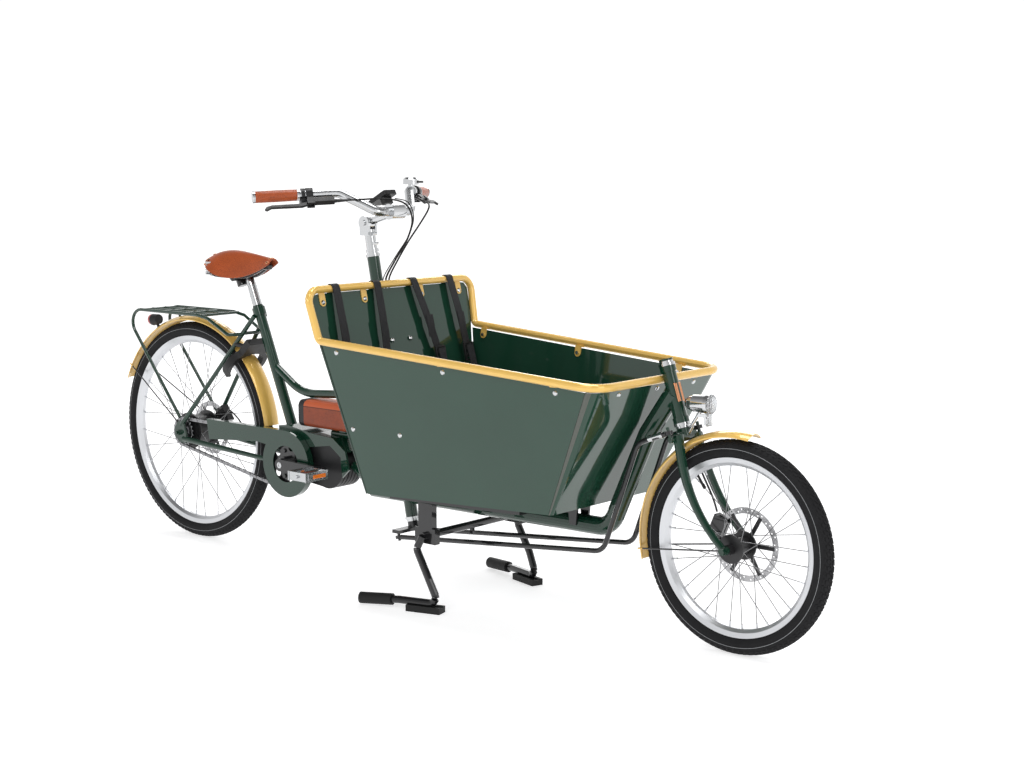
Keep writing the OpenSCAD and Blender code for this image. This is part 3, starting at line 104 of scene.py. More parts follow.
class Amount:
    """A value inside a finish that takes the usual arithmetic signs."""

    def __init__(self, finish, socket):
        self.finish = finish
        self.socket = socket

    def _sum(self, operation, *values):
        return self.finish.value("ShaderNodeMath", {"operation": operation}, *values)

    __add__, __radd__ = sign("ADD"), sign("ADD", True)
    __sub__, __rsub__ = sign("SUBTRACT"), sign("SUBTRACT", True)
    __mul__, __rmul__ = sign("MULTIPLY"), sign("MULTIPLY", True)
    __truediv__, __rtruediv__ = sign("DIVIDE"), sign("DIVIDE", True)
    __pow__, __gt__, __lt__ = sign("POWER"), sign("GREATER_THAN"), sign("LESS_THAN")

    def size(self):
        return self._sum("ABSOLUTE", self)

    def root(self):
        return self._sum("SQRT", self)

    def sine(self):
        return self._sum("SINE", self)

    def held(self):
        """The value kept between 0 and 1."""
        return self.finish.value("ShaderNodeClamp", {}, self)

    def near(self, middle, reach):
        """1 where the value is within reach of the middle, 0 elsewhere."""
        return (self - middle).size() < reach


class Finish:
    """One procedural material. Its nodes all come from node()."""

    def __init__(self, name, **sockets):
        self.material = bpy.data.materials.new(name)
        self.material.use_nodes = True
        self.tree = self.material.node_tree
        self.shader = self.tree.nodes["Principled BSDF"]
        self.set(**sockets)

    def node(self, kind, settings, *values, **named):
        made = self.tree.nodes.new(kind)
        for key, setting in settings.items():
            if key == "stops":
                ramp = made.color_ramp
                while len(ramp.elements) < len(setting):
                    ramp.elements.new(0.5)
                for element, (place, colour) in zip(ramp.elements, setting):
                    element.position = place
                    element.color = (*colour, 1)
            else:
                setattr(made, key, setting)
        for key, given in [*enumerate(values), *named.items()]:
            if given is None:
                continue
            self.feed(made.inputs[key], given)
        return made

    def feed(self, socket, given):
        if isinstance(given, Amount):
            self.tree.links.new(given.socket, socket)
        elif socket.type == "RGBA" and len(given) == 3:
            socket.default_value = (*given, 1)
        else:
            socket.default_value = given

    def value(self, kind, settings, *values, **named):
        return Amount(self, self.node(kind, settings, *values, **named).outputs[0])

    def set(self, **sockets):
        for name, given in sockets.items():
            self.feed(self.shader.inputs[name.replace("_", " ")], given)
        return self

    def place(self):
        """The piece's own X, Y and Z in metres."""
        where = self.node("ShaderNodeTexCoord", {})
        parts = self.node("ShaderNodeSeparateXYZ", {}, Amount(self, where.outputs["Object"]))
        return [Amount(self, parts.outputs[i]) for i in range(3)]

    def grain(self, scale, detail=3.0, rough=0.5, stretch=(1, 1, 1)):
        where = self.node("ShaderNodeTexCoord", {})
        moved = self.value("ShaderNodeMapping", {}, Amount(self, where.outputs["Object"]), Scale=stretch)
        return self.value("ShaderNodeTexNoise", {}, Vector=moved, Scale=scale, Detail=detail, Roughness=rough)

    def cells(self, scale):
        where = self.node("ShaderNodeTexCoord", {})
        return self.value("ShaderNodeTexVoronoi", {"feature": "DISTANCE_TO_EDGE"},
                          Vector=Amount(self, where.outputs["Object"]), Scale=scale)

    def around(self, centre):
        """Distance from an axle along Y, the turn about it, and the side distance."""
        x, y, z = self.place()
        dx, dz = x - centre.x, z - centre.z
        turn = self.value("ShaderNodeMath", {"operation": "ARCTAN2"}, dz, dx)
        return (dx * dx + dz * dz).root(), turn, y - centre.y

    def colour(self, share, first, second):
        mixed = self.node("ShaderNodeMix", {"data_type": "RGBA"})
        for index, given in ((0, share), (6, first), (7, second)):
            self.feed(mixed.inputs[index], given)
        return Amount(self, mixed.outputs[2])

    def relief(self, height, distance, strength=0.5):
        self.set(Normal=self.value("ShaderNodeBump", {}, Height=height, Distance=distance, Strength=strength))
        return self


def paint(name, colour, deep, roughness=0.16, flake=0.0):
    """Stove enamel: a little darker in places, faint orange peel, clear coat."""
    made = Finish(name, Coat_Weight=1.0, Coat_Roughness=0.04, Metallic=flake, Specular_IOR_Level=0.1)
    cloud = made.grain(7.0)
    made.set(Base_Color=made.colour(cloud, deep, colour), Roughness=made.grain(40.0) * 0.1 + roughness)
    return made.relief(made.grain(420.0, 1.0), 0.00012, 0.25)


def mudguard(name, colour, axle, inner):
    """Pearl enamel on the guard's blade, black wire stays inside it."""
    made = paint(name, colour, tuple(c * 0.82 for c in colour), 0.26, 0.25)
    stay = made.around(axle)[0] < inner
    enamel = made.shader.inputs["Base Color"].links[0].from_socket
    made.set(Base_Color=made.colour(stay, Amount(made, enamel), (0.03, 0.03, 0.032)))
    return made


def battery_cover(name, colour, deep, rear_x, top_z):
    """Brown hide over the pack, a stitched seam line 17 mm below its top with the hide above that line painted lighter
    as a highlight, and a black cap at the rear end.
    """
    made = leather(name, colour, deep, 0.42)
    x, _, z = made.place()
    cap = x < rear_x + 0.021
    lid_edge = top_z - 0.017
    seam = z.near(lid_edge, 0.0011)
    hide = made.shader.inputs["Base Color"].links[0].from_socket
    # Painted highlight: the hide above the seam line is made 1.25 times lighter, standing in for the light that falls
    # on the top of the pack.
    painted_lit_top = made.colour(z > lid_edge, Amount(made, hide), tuple(min(1, c * 1.25) for c in colour))
    lined = made.colour(seam, painted_lit_top, tuple(c * 0.35 for c in deep))
    made.set(Base_Color=made.colour(cap, lined, (0.014, 0.014, 0.015)))
    return made


def metal(name, colour, roughness, streak=(1, 1, 1), spread=0.14):
    made = Finish(name, Metallic=1.0)
    marks = made.grain(320.0, 4.0, 0.6, streak)
    made.set(Base_Color=made.colour(made.grain(9.0), tuple(c * 0.86 for c in colour), colour),
             Roughness=marks * spread + roughness)
    return made.relief(marks, 0.00008, 0.2)


def plastic(name, colour, roughness=0.42, pebble=900.0):
    made = Finish(name, Specular_IOR_Level=0.32)
    made.set(Base_Color=made.colour(made.grain(14.0), tuple(c * 0.7 for c in colour), colour),
             Roughness=made.grain(60.0) * 0.2 + roughness - 0.1)
    return made.relief(made.grain(pebble, 2.0), 0.0002, 0.35)


def leather(name, colour, deep, gloss=0.3):
    """Waxed hide: pores, creases darkened with painted shade, rubbed lighter patches."""
    made = Finish(name, Coat_Weight=0.3, Coat_Roughness=0.28, Specular_IOR_Level=0.22)
    crease = made.cells(420.0)
    patch = made.grain(22.0, 5.0, 0.65)
    tone = made.colour((patch * 1.5 - 0.25).held(), deep, colour)
    # Painted shade: the colour goes dark along the creases, where shade would fall in the grooves of the relief.
    made.set(Base_Color=made.colour((crease * 6.0).held(), tuple(c * 0.55 for c in deep), tone),
             Roughness=patch * 0.25 + gloss)
    return made.relief((crease * 7.0).held() + made.grain(1500.0, 2.0) * 0.3, 0.00025, 0.3)


def webbing(name, colour):
    """Woven nylon: fine ribs across and along the strap, with painted sheen lightening the rib crests."""
    made = Finish(name, Sheen_Weight=0.08, Specular_IOR_Level=0.2)
    x, y, z = made.place()
    ribs = (y * 3900.0).sine() * ((z + x * 0.4) * 3100.0).sine()
    # Painted sheen: the colour is up to 2.6 times lighter on the raised rib crests and darkest in the hollows between
    # them.
    made.set(Base_Color=made.colour((ribs * 0.5 + 0.5).held(), colour, tuple(c * 2.6 for c in colour)),
             Roughness=made.grain(30.0) * 0.2 + 0.6)
    return made.relief(ribs, 0.0003, 0.6)


def tyre_rubber(name, axle, middle):
    """Black rubber with moulded rings on the wall and one thin grey light-catching line."""
    made = Finish(name, Specular_IOR_Level=0.22)
    radius, turn, side = made.around(axle)
    out = radius - middle
    slope = made.value("ShaderNodeMath", {"operation": "ARCTAN2"}, side.size(), out)
    line = slope.near(1.42, 0.022)
    dust = made.grain(30.0, 5.0, 0.6)
    black = made.colour((dust * 1.4 - 0.2).held(), (0.004, 0.004, 0.005), (0.013, 0.013, 0.014))
    made.set(Base_Color=made.colour(line, black, (0.3, 0.31, 0.32)), Roughness=0.62 - line * 0.3 + dust * 0.12)
    rings = (slope * 95.0).sine() * (slope > 1.15)
    return made.relief(rings * 0.5 + line + (turn * 620.0).sine() * slope.near(1.78, 0.06) * 0.6, 0.0004, 0.6)


def disc_hub(name, axle, disc_y, carrier_r):
    """Black anodised hub and disc carrier, with a ground steel braking disc."""
    made = Finish(name)
    radius, _, side = made.around(axle)
    disc = side.near(disc_y - axle.y, 0.0014) * (radius > carrier_r)
    lines = (radius * 5200.0).sine() * 0.5 + 0.5
    made.set(Base_Color=made.colour(disc, (0.012, 0.012, 0.013), (0.42, 0.42, 0.43)), Metallic=disc,
             Roughness=0.3 - disc * 0.08 + made.grain(60.0) * 0.1)
    return made.relief(lines * disc + made.grain(500.0) * 0.2, 0.00012, 0.3)


def wheel_silver(name, axle, rim_r):
    """Polished rim with fine turned lines and a machined brake band, bright steel spokes inside."""
    made = Finish(name, Metallic=1.0)
    radius = made.around(axle)[0]
    on_rim = radius > rim_r
    lines = (radius * 6500.0).sine() * 0.5 + 0.5
    made.set(Base_Color=made.colour(on_rim, (0.22, 0.22, 0.225), (0.62, 0.63, 0.65)),
             Roughness=0.2 + on_rim * 0.12 + made.grain(80.0) * 0.08)
    return made.relief(lines * on_rim, 0.00008, 0.25)


def lacquered_board(name, normal):
    """Green laminate under gloss lacquer. Its cut edges show the paler core."""
    made = Finish(name, Coat_Weight=1.0, Coat_Roughness=0.03, Specular_IOR_Level=0.08)
    shape = made.node("ShaderNodeNewGeometry", {})
    dot = made.node("ShaderNodeVectorMath", {"operation": "DOT_PRODUCT"},
                    Amount(made, shape.outputs["Normal"]), tuple(normal))
    facing = Amount(made, dot.outputs["Value"]).size()
    edge = facing < 0.6
    green = made.colour(made.grain(5.0, 4.0), (0.0085, 0.038, 0.022), (0.012, 0.05, 0.03))
    core = made.colour((made.grain(300.0, 3.0, 0.6, (1, 1, 4))), (0.03, 0.035, 0.03), (0.11, 0.12, 0.1))
    made.set(Base_Color=made.colour(edge, green, core), Roughness=0.1 + edge * 0.35 + made.grain(60.0) * 0.05)
    return made.relief(made.grain(55.0, 2.0), 0.00025, 0.12)


class Palette:
    """The finishes, made once by the first operator that runs."""
    made = {}

    @classmethod
    def mix(cls, colours):
        green = tuple(colours.frame_green)
        gold = tuple(colours.rim_gold)
        hide = tuple(colours.leather_brown)
        cls.made = {
            "green": paint("Frame Enamel", green, tuple(c * 0.7 for c in green)),
            "rear_guard": mudguard("Rear Mudguard", gold, rear_axle, 0.325),
            "front_guard": mudguard("Front Mudguard", gold, front_axle, 0.252),
            "gold": paint("Pearl Gold Enamel", gold, tuple(c * 0.82 for c in gold), 0.26, 0.25),
            "black": paint("Black Powder Coat", (0.012, 0.012, 0.013), (0.006, 0.006, 0.007), 0.24),
            "side_board": lacquered_board("Side Board", (0.08, 0.98, 0.2)),
            "cross_board": lacquered_board("Cross Board", (0.9, 0.0, -0.4)),
            "flat_board": lacquered_board("Flat Board", (0, 0, 1)),
            "plastic": plastic("Black Plastic", (0.01, 0.01, 0.0105)),
            "rubber": plastic("Rubber", (0.009, 0.009, 0.009), 0.6, 500.0),
            "chrome": metal("Bright Chrome", (0.62, 0.63, 0.64), 0.07, spread=0.08),
            "alloy": metal("Polished Alloy", (0.56, 0.57, 0.58), 0.17),
            "steel": metal("Plain Steel", (0.3, 0.3, 0.31), 0.26, (1, 8, 1)),
            "copper": metal("Copper", (0.72, 0.33, 0.17), 0.22),
            "hide": leather("Saddle Leather", hide, tuple(c * 0.6 for c in hide)),
            "cover": battery_cover("Battery Cover", (0.36, 0.07, 0.022), (0.2, 0.036, 0.012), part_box("battery")[0].x,
                                   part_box("battery")[1].z),
            "webbing": webbing("Webbing", (0.009, 0.009, 0.01)),
            "front_tyre": tyre_rubber("Front Tyre Rubber", front_axle, 0.229),
            "rear_tyre": tyre_rubber("Rear Tyre Rubber", rear_axle, 0.303),
            "front_hub": disc_hub("Front Hub", front_axle, 0.037, 0.062),
            "rear_hub": disc_hub("Rear Hub", rear_axle, 0.05, 0.06),
            "front_wheel": wheel_silver("Front Wheel Silver", front_axle, 0.18),
            "rear_wheel": wheel_silver("Rear Wheel Silver", rear_axle, 0.25),
            "motor": plastic("Motor Housing", (0.01, 0.01, 0.011), 0.4, 1100.0),
            "red": Finish("Red Lens", Base_Color=(0.42, 0.006, 0.008), Roughness=0.12, Coat_Weight=1.0),
            "amber": Finish("Amber Reflector", Base_Color=(0.9, 0.2, 0.01), Roughness=0.15, Coat_Weight=1.0),
            "clear": Finish("Clear Lens", Base_Color=(0.95, 0.96, 0.97), Roughness=0.04, Transmission_Weight=0.9),
            "mirror": metal("Mirror", (0.9, 0.9, 0.9), 0.03, spread=0.03),
            "screen": Finish("Screen", Base_Color=(0.012, 0.014, 0.016), Roughness=0.06, Coat_Weight=1.0),
            "thread": plastic("Waxed Thread", (0.5, 0.33, 0.16), 0.6, 2500.0),
        }
        for name, fine in (("red", 700.0), ("amber", 700.0)):
            lens = cls.made[name]
            lens.relief(lens.cells(fine), 0.0005, 0.6)
        glass = cls.made["screen"]
        glass.set(Roughness=glass.grain(30.0) * 0.06 + 0.04)
        clear = cls.made["clear"]
        clear.relief((clear.place()[1] * 900.0).sine(), 0.0004, 0.4)

    @classmethod
    def get(cls, name):
        return cls.made[name].material


# ---- Modelling helpers ----------------------------------------------------------------------

def put_down():
    if bpy.context.object and bpy.context.object.mode != "OBJECT":
        bpy.ops.object.mode_set(mode="OBJECT")
    bpy.ops.object.select_all(action="DESELECT")


def pick(piece):
    put_down()
    piece.select_set(True)
    bpy.context.view_layer.objects.active = piece


def edit(piece, wanted=None, kind="FACE"):
    """Opens a piece in edit mode with only the wanted faces or vertices selected."""
    pick(piece)
    bpy.ops.object.mode_set(mode="EDIT")
    bpy.ops.mesh.select_mode(type=kind)
    bpy.ops.mesh.select_all(action="SELECT" if wanted is None else "DESELECT")
    if wanted is not None:
        mesh = bmesh.from_edit_mesh(piece.data)
        for part in (mesh.faces if kind == "FACE" else mesh.edges if kind == "EDGE" else mesh.verts):
            part.select_set(bool(wanted(part)))
        mesh.select_flush_mode()
        bmesh.update_edit_mesh(piece.data)


def tidy_shell(piece):
    edit(piece)
    bpy.ops.mesh.remove_doubles(threshold=0.00001)
    bpy.ops.mesh.normals_make_consistent(inside=False)
    put_down()


def facing(direction, across=None):
    """A turn that takes local Z to the direction, and X as near as it can to across."""
    z = Vector(direction).normalized()
    x = Vector(across) if across else (Vector((1, 0, 0)) if abs(z.x) < 0.9 else Vector((0, 0, 1)))
    x = (x - z * x.dot(z)).normalized()
    return Matrix((x, z.cross(x), z)).transposed().to_4x4()


def settle(piece, where=None, turn=None):
    """Moves a piece to its place and keeps that place in its mesh."""
    piece.data.transform(Matrix.Translation(where or Vector()) @ (turn or Matrix.Identity(4)))
    piece.data.update()
    return piece


def smooth(piece, angle=40):
    pick(piece)
    bpy.ops.object.shade_smooth_by_angle(angle=math.radians(angle))


def apply_all(piece):
    pick(piece)
    for held in list(piece.modifiers):
        bpy.ops.object.modifier_apply(modifier=held.name)


def subdivided(piece, levels=1):
    added = piece.modifiers.new("Soft", "SUBSURF")
    added.levels = added.render_levels = levels
    apply_all(piece)


def lathe(name, sections, sides=32):
    """A disc drawn up through (radius, height) sections in millimetres, closed at both ends."""
    put_down()
    sections = [(r / 1000, z / 1000) for r, z in sections]
    r0, z0 = sections[0]
    bpy.ops.mesh.primitive_circle_add(vertices=sides, radius=r0, fill_type="NGON", location=(0, 0, 0))
    piece = bpy.context.object
    piece.name = name
    settle(piece, Vector((0, 0, z0)))
    edit(piece)
    for r, z in sections[1:]:
        bpy.ops.mesh.extrude_region_move(TRANSFORM_OT_translate={"value": (0, 0, z - z0)})
        bpy.ops.transform.resize(value=(r / r0, r / r0, 1), center_override=(0, 0, z))
        r0, z0 = r, z
    tidy_shell(piece)
    return piece


def slab(name, size, bevel=1.0, segments=2):
    """A block of a size in millimetres with softened edges, about its own middle."""
    put_down()
    bpy.ops.mesh.primitive_cube_add(size=1, location=(0, 0, 0))
    piece = bpy.context.object
    piece.name = name
    settle(piece, turn=Matrix.Diagonal((size[0] / 1000, size[1] / 1000, size[2] / 1000, 1)))
    if bevel:
        edit(piece)
        bpy.ops.mesh.bevel(offset=bevel / 1000, segments=segments, affect="EDGES")
        put_down()
    return piece


def copy_of(piece, name="Copy"):
    twin = piece.copy()
    twin.data = piece.data.copy()
    twin.name = name
    bpy.context.scene.collection.objects.link(twin)
    return twin


def drop(*pieces):
    for piece in pieces:
        bpy.data.objects.remove(piece)


def join(name, pieces):
    """Makes one piece of several and keeps their materials."""
    put_down()
    for piece in pieces:
        piece.select_set(True)
    bpy.context.view_layer.objects.active = pieces[0]
    if len(pieces) > 1:
        bpy.ops.object.join()
    whole = bpy.context.view_layer.objects.active
    whole.name = name
    whole.data.name = name
    return whole


def dress(piece, finish):
    piece.data.materials.clear()
    piece.data.materials.append(Palette.get(finish))
    return piece


def fit(piece, body, slot, *nodes):
    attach(piece, body)
    if nodes:
        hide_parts(*nodes)
    return piece


def paint_node(node, finish):
    mesh = frame["nodes"][node].data
    mesh.materials.clear()
    mesh.materials.append(Palette.get(finish))


def tube(name, points, diameter, sides=10):
    """A round cord along points in metres, made a mesh with closed ends."""
    put_down()
    line = bpy.data.curves.new(name, "CURVE")
    line.dimensions = "3D"
    line.bevel_depth = diameter / 2
    line.bevel_resolution = max(0, sides // 4 - 1)
    line.use_fill_caps = True
    run = line.splines.new("POLY")
    run.points.add(len(points) - 1)
    for dot, place in zip(run.points, points):
        dot.co = (*place, 1)
    piece = bpy.data.objects.new(name, line)
    bpy.context.scene.collection.objects.link(piece)
    pick(piece)
    bpy.ops.object.convert(target="MESH")
    piece = bpy.context.object
    tidy_shell(piece)
    smooth(piece, 60)
    return piece


def rounded_path(points, steps=6):
    """A smooth path through the points."""
    path = []
    for i in range(len(points) - 1):
        a = points[max(i - 1, 0)]
        b, c = points[i], points[i + 1]
        d = points[min(i + 2, len(points) - 1)]
        for k in range(steps):
            t = k / steps
            path.append(0.5 * (2 * b + (c - a) * t + (2 * a - 5 * b + 4 * c - d) * t ** 2
                               + (3 * b - a - 3 * c + d) * t ** 3))
    return path + [points[-1]]


# ---- What a user would change ---------------------------------------------------------------

class BicycleColours(bpy.types.PropertyGroup):
    frame_green: bpy.props.FloatVectorProperty(name="Frame Green", description="Enamel of the frame, fork and rack",
                                               subtype="COLOR", default=(0.006, 0.036, 0.02), min=0, max=1)
    rim_gold: bpy.props.FloatVectorProperty(name="Rim Gold", description="Enamel of the box rim and mudguards",
                                            subtype="COLOR", default=(0.84, 0.53, 0.13), min=0, max=1)
    leather_brown: bpy.props.FloatVectorProperty(name="Leather Brown", description="Hide of the saddle and grips",
                                                 subtype="COLOR", default=(0.5, 0.094, 0.02), min=0, max=1)


class BicycleSizes(bpy.types.PropertyGroup):
    chain_pitch: bpy.props.FloatProperty(name="Chain Pitch", description="Distance between chain pins",
                                         unit="LENGTH", default=0.0127, min=0.008, max=0.02)
    tread_depth: bpy.props.FloatProperty(name="Tread Depth", description="Height of the tyre blocks",
                                         unit="LENGTH", default=0.0013, min=0.0005, max=0.003)
    hose_diameter: bpy.props.FloatProperty(name="Hose Diameter", description="Outer diameter of a brake hose",
                                           unit="LENGTH", default=0.005, min=0.003, max=0.008)
    strap_width: bpy.props.FloatProperty(name="Strap Width", description="Width of the harness webbing",
                                         unit="LENGTH", default=0.025, min=0.015, max=0.04)


# ---- Operators ------------------------------------------------------------------------------

class BICYCLE_OT_camera(bpy.types.Operator):
    """Place the camera"""
    bl_idname = "bicycle.camera"
    bl_label = "Camera"

    def execute(self, context):
        put_down()
        bpy.ops.object.camera_add(location=(3.174, -3.324, 1.164))
        camera = context.object
        camera.data.lens = 61.2
        camera.data.sensor_width = 36
        aim = Vector((0.318, 0.0, 0.5732)) - camera.location
        camera.matrix_world = (Matrix.Translation(camera.location) @ aim.to_track_quat("-Z", "Y").to_matrix().to_4x4()
                               @ Matrix.Rotation(math.radians(-0.05), 4, "Z"))
        context.scene.camera = camera
        return {"FINISHED"}


class BICYCLE_OT_finishes(bpy.types.Operator):
    """Mix the finishes and put them on the nodes that keep their own shape"""
    bl_idname = "bicycle.finishes"
    bl_label = "Finishes"

    def execute(self, context):
        Palette.mix(context.scene.bicycle_colours)
        worn = {
            "green": "seat_tube top_tubes main_tube rear_stays rack chaincase fork",
            "gold": "box_rim",
            "rear_guard": "rear_fender",
            "front_guard": "front_fender",
            "black": "underframe stand_legs steering_lever right_rod left_rod rear_caliper front_caliper crankset",
            "plastic": "ring_lock brake_masters right_lever left_lever controls shift_lever assist_switch "
                       "bell_striker tail_lamp",
            "side_board": "right_panel left_panel",
            "cross_board": "front_panel back_panel",
            "flat_board": "floor_panel bench",
            "rubber": "stand_feet",
            "chrome": "headset_cups stem_base stem_arm bell headlight seatpost lock_shackle box_bolts",
            "alloy": "handlebar right_pedal left_pedal",
            "steel": "rear_sprocket",
            "cover": "battery",
            "motor": "motor",
            "front_hub": "front_hub",
            "rear_hub": "rear_hub",
            "front_wheel": "front_rim",
            "rear_wheel": "rear_rim",
            "hide": "saddle grips",
            "front_tyre": "front_tyre",
            "rear_tyre": "rear_tyre",
        }
        for finish, nodes in worn.items():
            for node in nodes.split():
                paint_node(node, finish)
        return {"FINISHED"}


def tyre(name, axle, reach, sectors, depth):
    """A tyre carcass with rows of tread blocks raised on it."""
    put_down()
    half = 0.0235
    middle = reach - half
    bpy.ops.mesh.primitive_torus_add(major_radius=middle, minor_radius=half - depth, major_segments=128,
                                     minor_segments=28, location=(0, 0, 0))
    carcass = bpy.context.object
    settle(carcass, turn=Matrix.Rotation(math.pi / 2, 4, "X"))
    blocks = []
    sector = 2 * math.pi / sectors
    pitch = sector * reach * 1000
    for lean, width, shift, turn in ((0, 3.4, 0, 0), (15, 5.2, 0.25, 24), (-15, 5.2, 0.75, -24), (33, 5.6, 0.6, 12),
                                     (-33, 5.6, 0.1, -12), (52, 4.6, 0.35, 0), (-52, 4.6, 0.85, 0)):
        block = slab("Block", (pitch * (0.86 if lean == 0 else 0.62), width, depth * 1000 + 0.9), 0.0)
        edit(block, lambda f: f.normal.z > 0.9)
        bpy.ops.transform.resize(value=(0.88, 0.86, 1))
        put_down()
        settle(block, turn=Matrix.Rotation(math.radians(turn), 4, "Z"))
        settle(block, turn=Matrix.Translation((0, 0, half - depth / 2 - 0.00045)))
        settle(block, turn=Matrix.Rotation(math.radians(lean), 4, "X"))
        settle(block, turn=Matrix.Rotation(sector * shift, 4, "Y") @ Matrix.Translation((0, 0, middle)))
        blocks.append(block)
    tread = join("Tread", blocks)
    edit(tread)
    bpy.ops.mesh.spin(steps=sectors, dupli=True, angle=2 * math.pi, center=(0, 0, 0), axis=(0, 1, 0))
    bpy.ops.mesh.select_all(action="SELECT")
    bpy.ops.mesh.remove_doubles(threshold=0.00002)
    put_down()
    smooth(carcass, 60)
    return settle(join(name, [carcass, tread]), axle)


class BICYCLE_OT_tyres(bpy.types.Operator):
    """Make both tyres with raised tread, and a valve in each rim"""
    bl_idname = "bicycle.tyres"
    bl_label = "Tyres"

    def execute(self, context):
        depth = context.scene.bicycle_sizes.tread_depth
        for end, axle, sectors in (("front", front_axle, 96), ("rear", rear_axle, 124)):
            low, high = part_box(end + "_tyre")
            made = dress(tyre(end + "_tyre_tread", axle, (high.x - low.x) / 2, sectors, depth), end + "_tyre")
            fit(made, end + "_wheel", "tyre", end + "_tyre")
            rim_low, rim_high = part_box(end + "_rim")
            valve = lathe(end + "_valve", [(3.2, 0), (3.2, 4), (3.0, 4), (3.0, 24), (4, 24), (4, 34), (2.6, 36)], 16)
            smooth(valve, 30)
            inner = (rim_high.x - rim_low.x) / 2 - 0.019
            turn = 2.2 if end == "front" else 0.9
            out = Vector((math.cos(turn), 0, math.sin(turn)))
            fit(dress(settle(valve, axle + out * inner, facing(-out)), "plastic"), end + "_wheel", "black_plastic")
        return {"FINISHED"}


def run_around(small, small_r, large, large_r, count):
    """Even places around two circles in a plane across Y, with the way along at each."""
    way = large - small
    base = math.atan2(way.z, way.x)
    tilt = math.asin((large_r - small_r) / way.length)

    def arc(centre, r, start, end, steps):
        return [centre + r * Vector((math.cos(start + (end - start) * i / steps), 0,
                                     math.sin(start + (end - start) * i / steps))) for i in range(steps + 1)]

    quarter = math.pi / 2
    loop = arc(small, small_r, base + quarter + tilt, base + 3 * quarter - tilt, 40)
    loop += arc(large, large_r, base - quarter - tilt, base + quarter + tilt, 60)
    loop.append(loop[0])
    lengths = [(b - a).length for a, b in zip(loop, loop[1:])]
    total = sum(lengths)
    places, done, i = [], 0.0, 0
    for k in range(count):
        goal = total * k / count
        while done + lengths[i] < goal:
            done += lengths[i]
            i += 1
        a, b = loop[i], loop[i + 1]
        places.append((a.lerp(b, (goal - done) / lengths[i]), (b - a).normalized()))
    return places, total


class BICYCLE_OT_chain(bpy.types.Operator):
    """Lay the chain link by link, and cut teeth on both wheels it runs on"""
    bl_idname = "bicycle.chain"
    bl_label = "Chain"

    def execute(self, context):
        low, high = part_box("chain")
        line = Vector((0, (low.y + high.y) / 2, 0))
        pitch = context.scene.bicycle_sizes.chain_pitch
        small, large = rear_axle + line, spindle + line
        small_r, large_r = 0.0406, 0.0769
        total = run_around(small, small_r, large, large_r, 4)[1]
        count = round(total / pitch / 2) * 2
        places = run_around(small, small_r, large, large_r, count)[0]
        links = []
        for wide in (False, True):
            sides = []
            for s in (-1, 1):
                side = slab("Side", (12.7 + 7.6, 1.0, 7.8), 0.0)
                edit(side, lambda e: abs((e.verts[0].co - e.verts[1].co).normalized().y) > 0.9, "EDGE")
                bpy.ops.mesh.bevel(offset=0.003, segments=2, affect="EDGES")
                put_down()
                sides.append(settle(side, Vector((0, s * (0.0038 if wide else 0.0026), 0))))
            roller = lathe("Roller", [(3.8, -2), (3.8, 2)], 10)
            pin = lathe("Pin", [(1.8, -5), (1.8, 5)], 8)
            for part in (roller, pin):
                sides.append(settle(part, Vector((-0.00635, 0, 0)), facing((0, 1, 0))))
            links.append(join("Link", sides))
        chain = []
        for i, (place, way) in enumerate(places):
            after = places[(i + 1) % count][0]
            link = copy_of(links[i % 2])
            way = (after - place).normalized()
            settle(link, (place + after) / 2, facing(way.cross(Vector((0, 1, 0))), way))
            chain.append(link)
        drop(*links)
        whole = dress(join("chain_links", chain), "steel")
        smooth(whole, 30)
        fit(whole, "frame", "steel", "chain")
        for name, centre, r, count, body in (("chainring_teeth", large, large_r, 38, "cranks"),
                                             ("sprocket_teeth", small, small_r, 20, "freewheel")):
            teeth = []
            tooth = lathe("Tooth", [(3.4, 0), (2.9, 3.5), (1.2, 7)], 8)
            settle(tooth, turn=Matrix.Diagonal((1, 0.42, 1, 1)))
            for k in range(count):
                turn = 2 * math.pi * (k + 0.5) / count
                out = Vector((math.cos(turn), 0, math.sin(turn)))
                turned = facing(out, (0, 1, 0)) @ Matrix.Rotation(math.pi / 2, 4, "Z")
                teeth.append(settle(copy_of(tooth), centre + out * (r - 0.005), turned))
            drop(tooth)
            smooth(teeth[0], 30)
            fit(dress(join(name, teeth), "steel"), body, "steel")
        return {"FINISHED"}


SADDLE_BACK = -100
SADDLE_LENGTH = 242


def saddle_width(t):
    return 20 + 72 * max(0, 1 - t) ** 1.5 * (1 - 0.6 * (1 - t) ** 9)


def saddle_crown(t):
    return 50 * (1 - 0.6 * (1 - t) ** 5) * (1 - 0.62 * t ** 1.1)


def saddle_skirt(t):
    return 6 - 46 * max(0, math.sin(math.pi * t ** 0.85)) ** 0.9


def saddle_middle():
    return Vector((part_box("saddle")[0].x + 0.1, 0, 0.8367))


def on_saddle(t, a, lift=0.0):
    """A place on the leather: t from the back to the nose, a from side to side over the top."""
    w, c, s = saddle_width(t), saddle_crown(t), saddle_skirt(t)
    k = abs(math.cos(a)) ** 2.6
    return saddle_middle() + Vector((SADDLE_BACK + SADDLE_LENGTH * t, (w + lift) * math.cos(a), c - (c - s) * k + lift)) / 1000


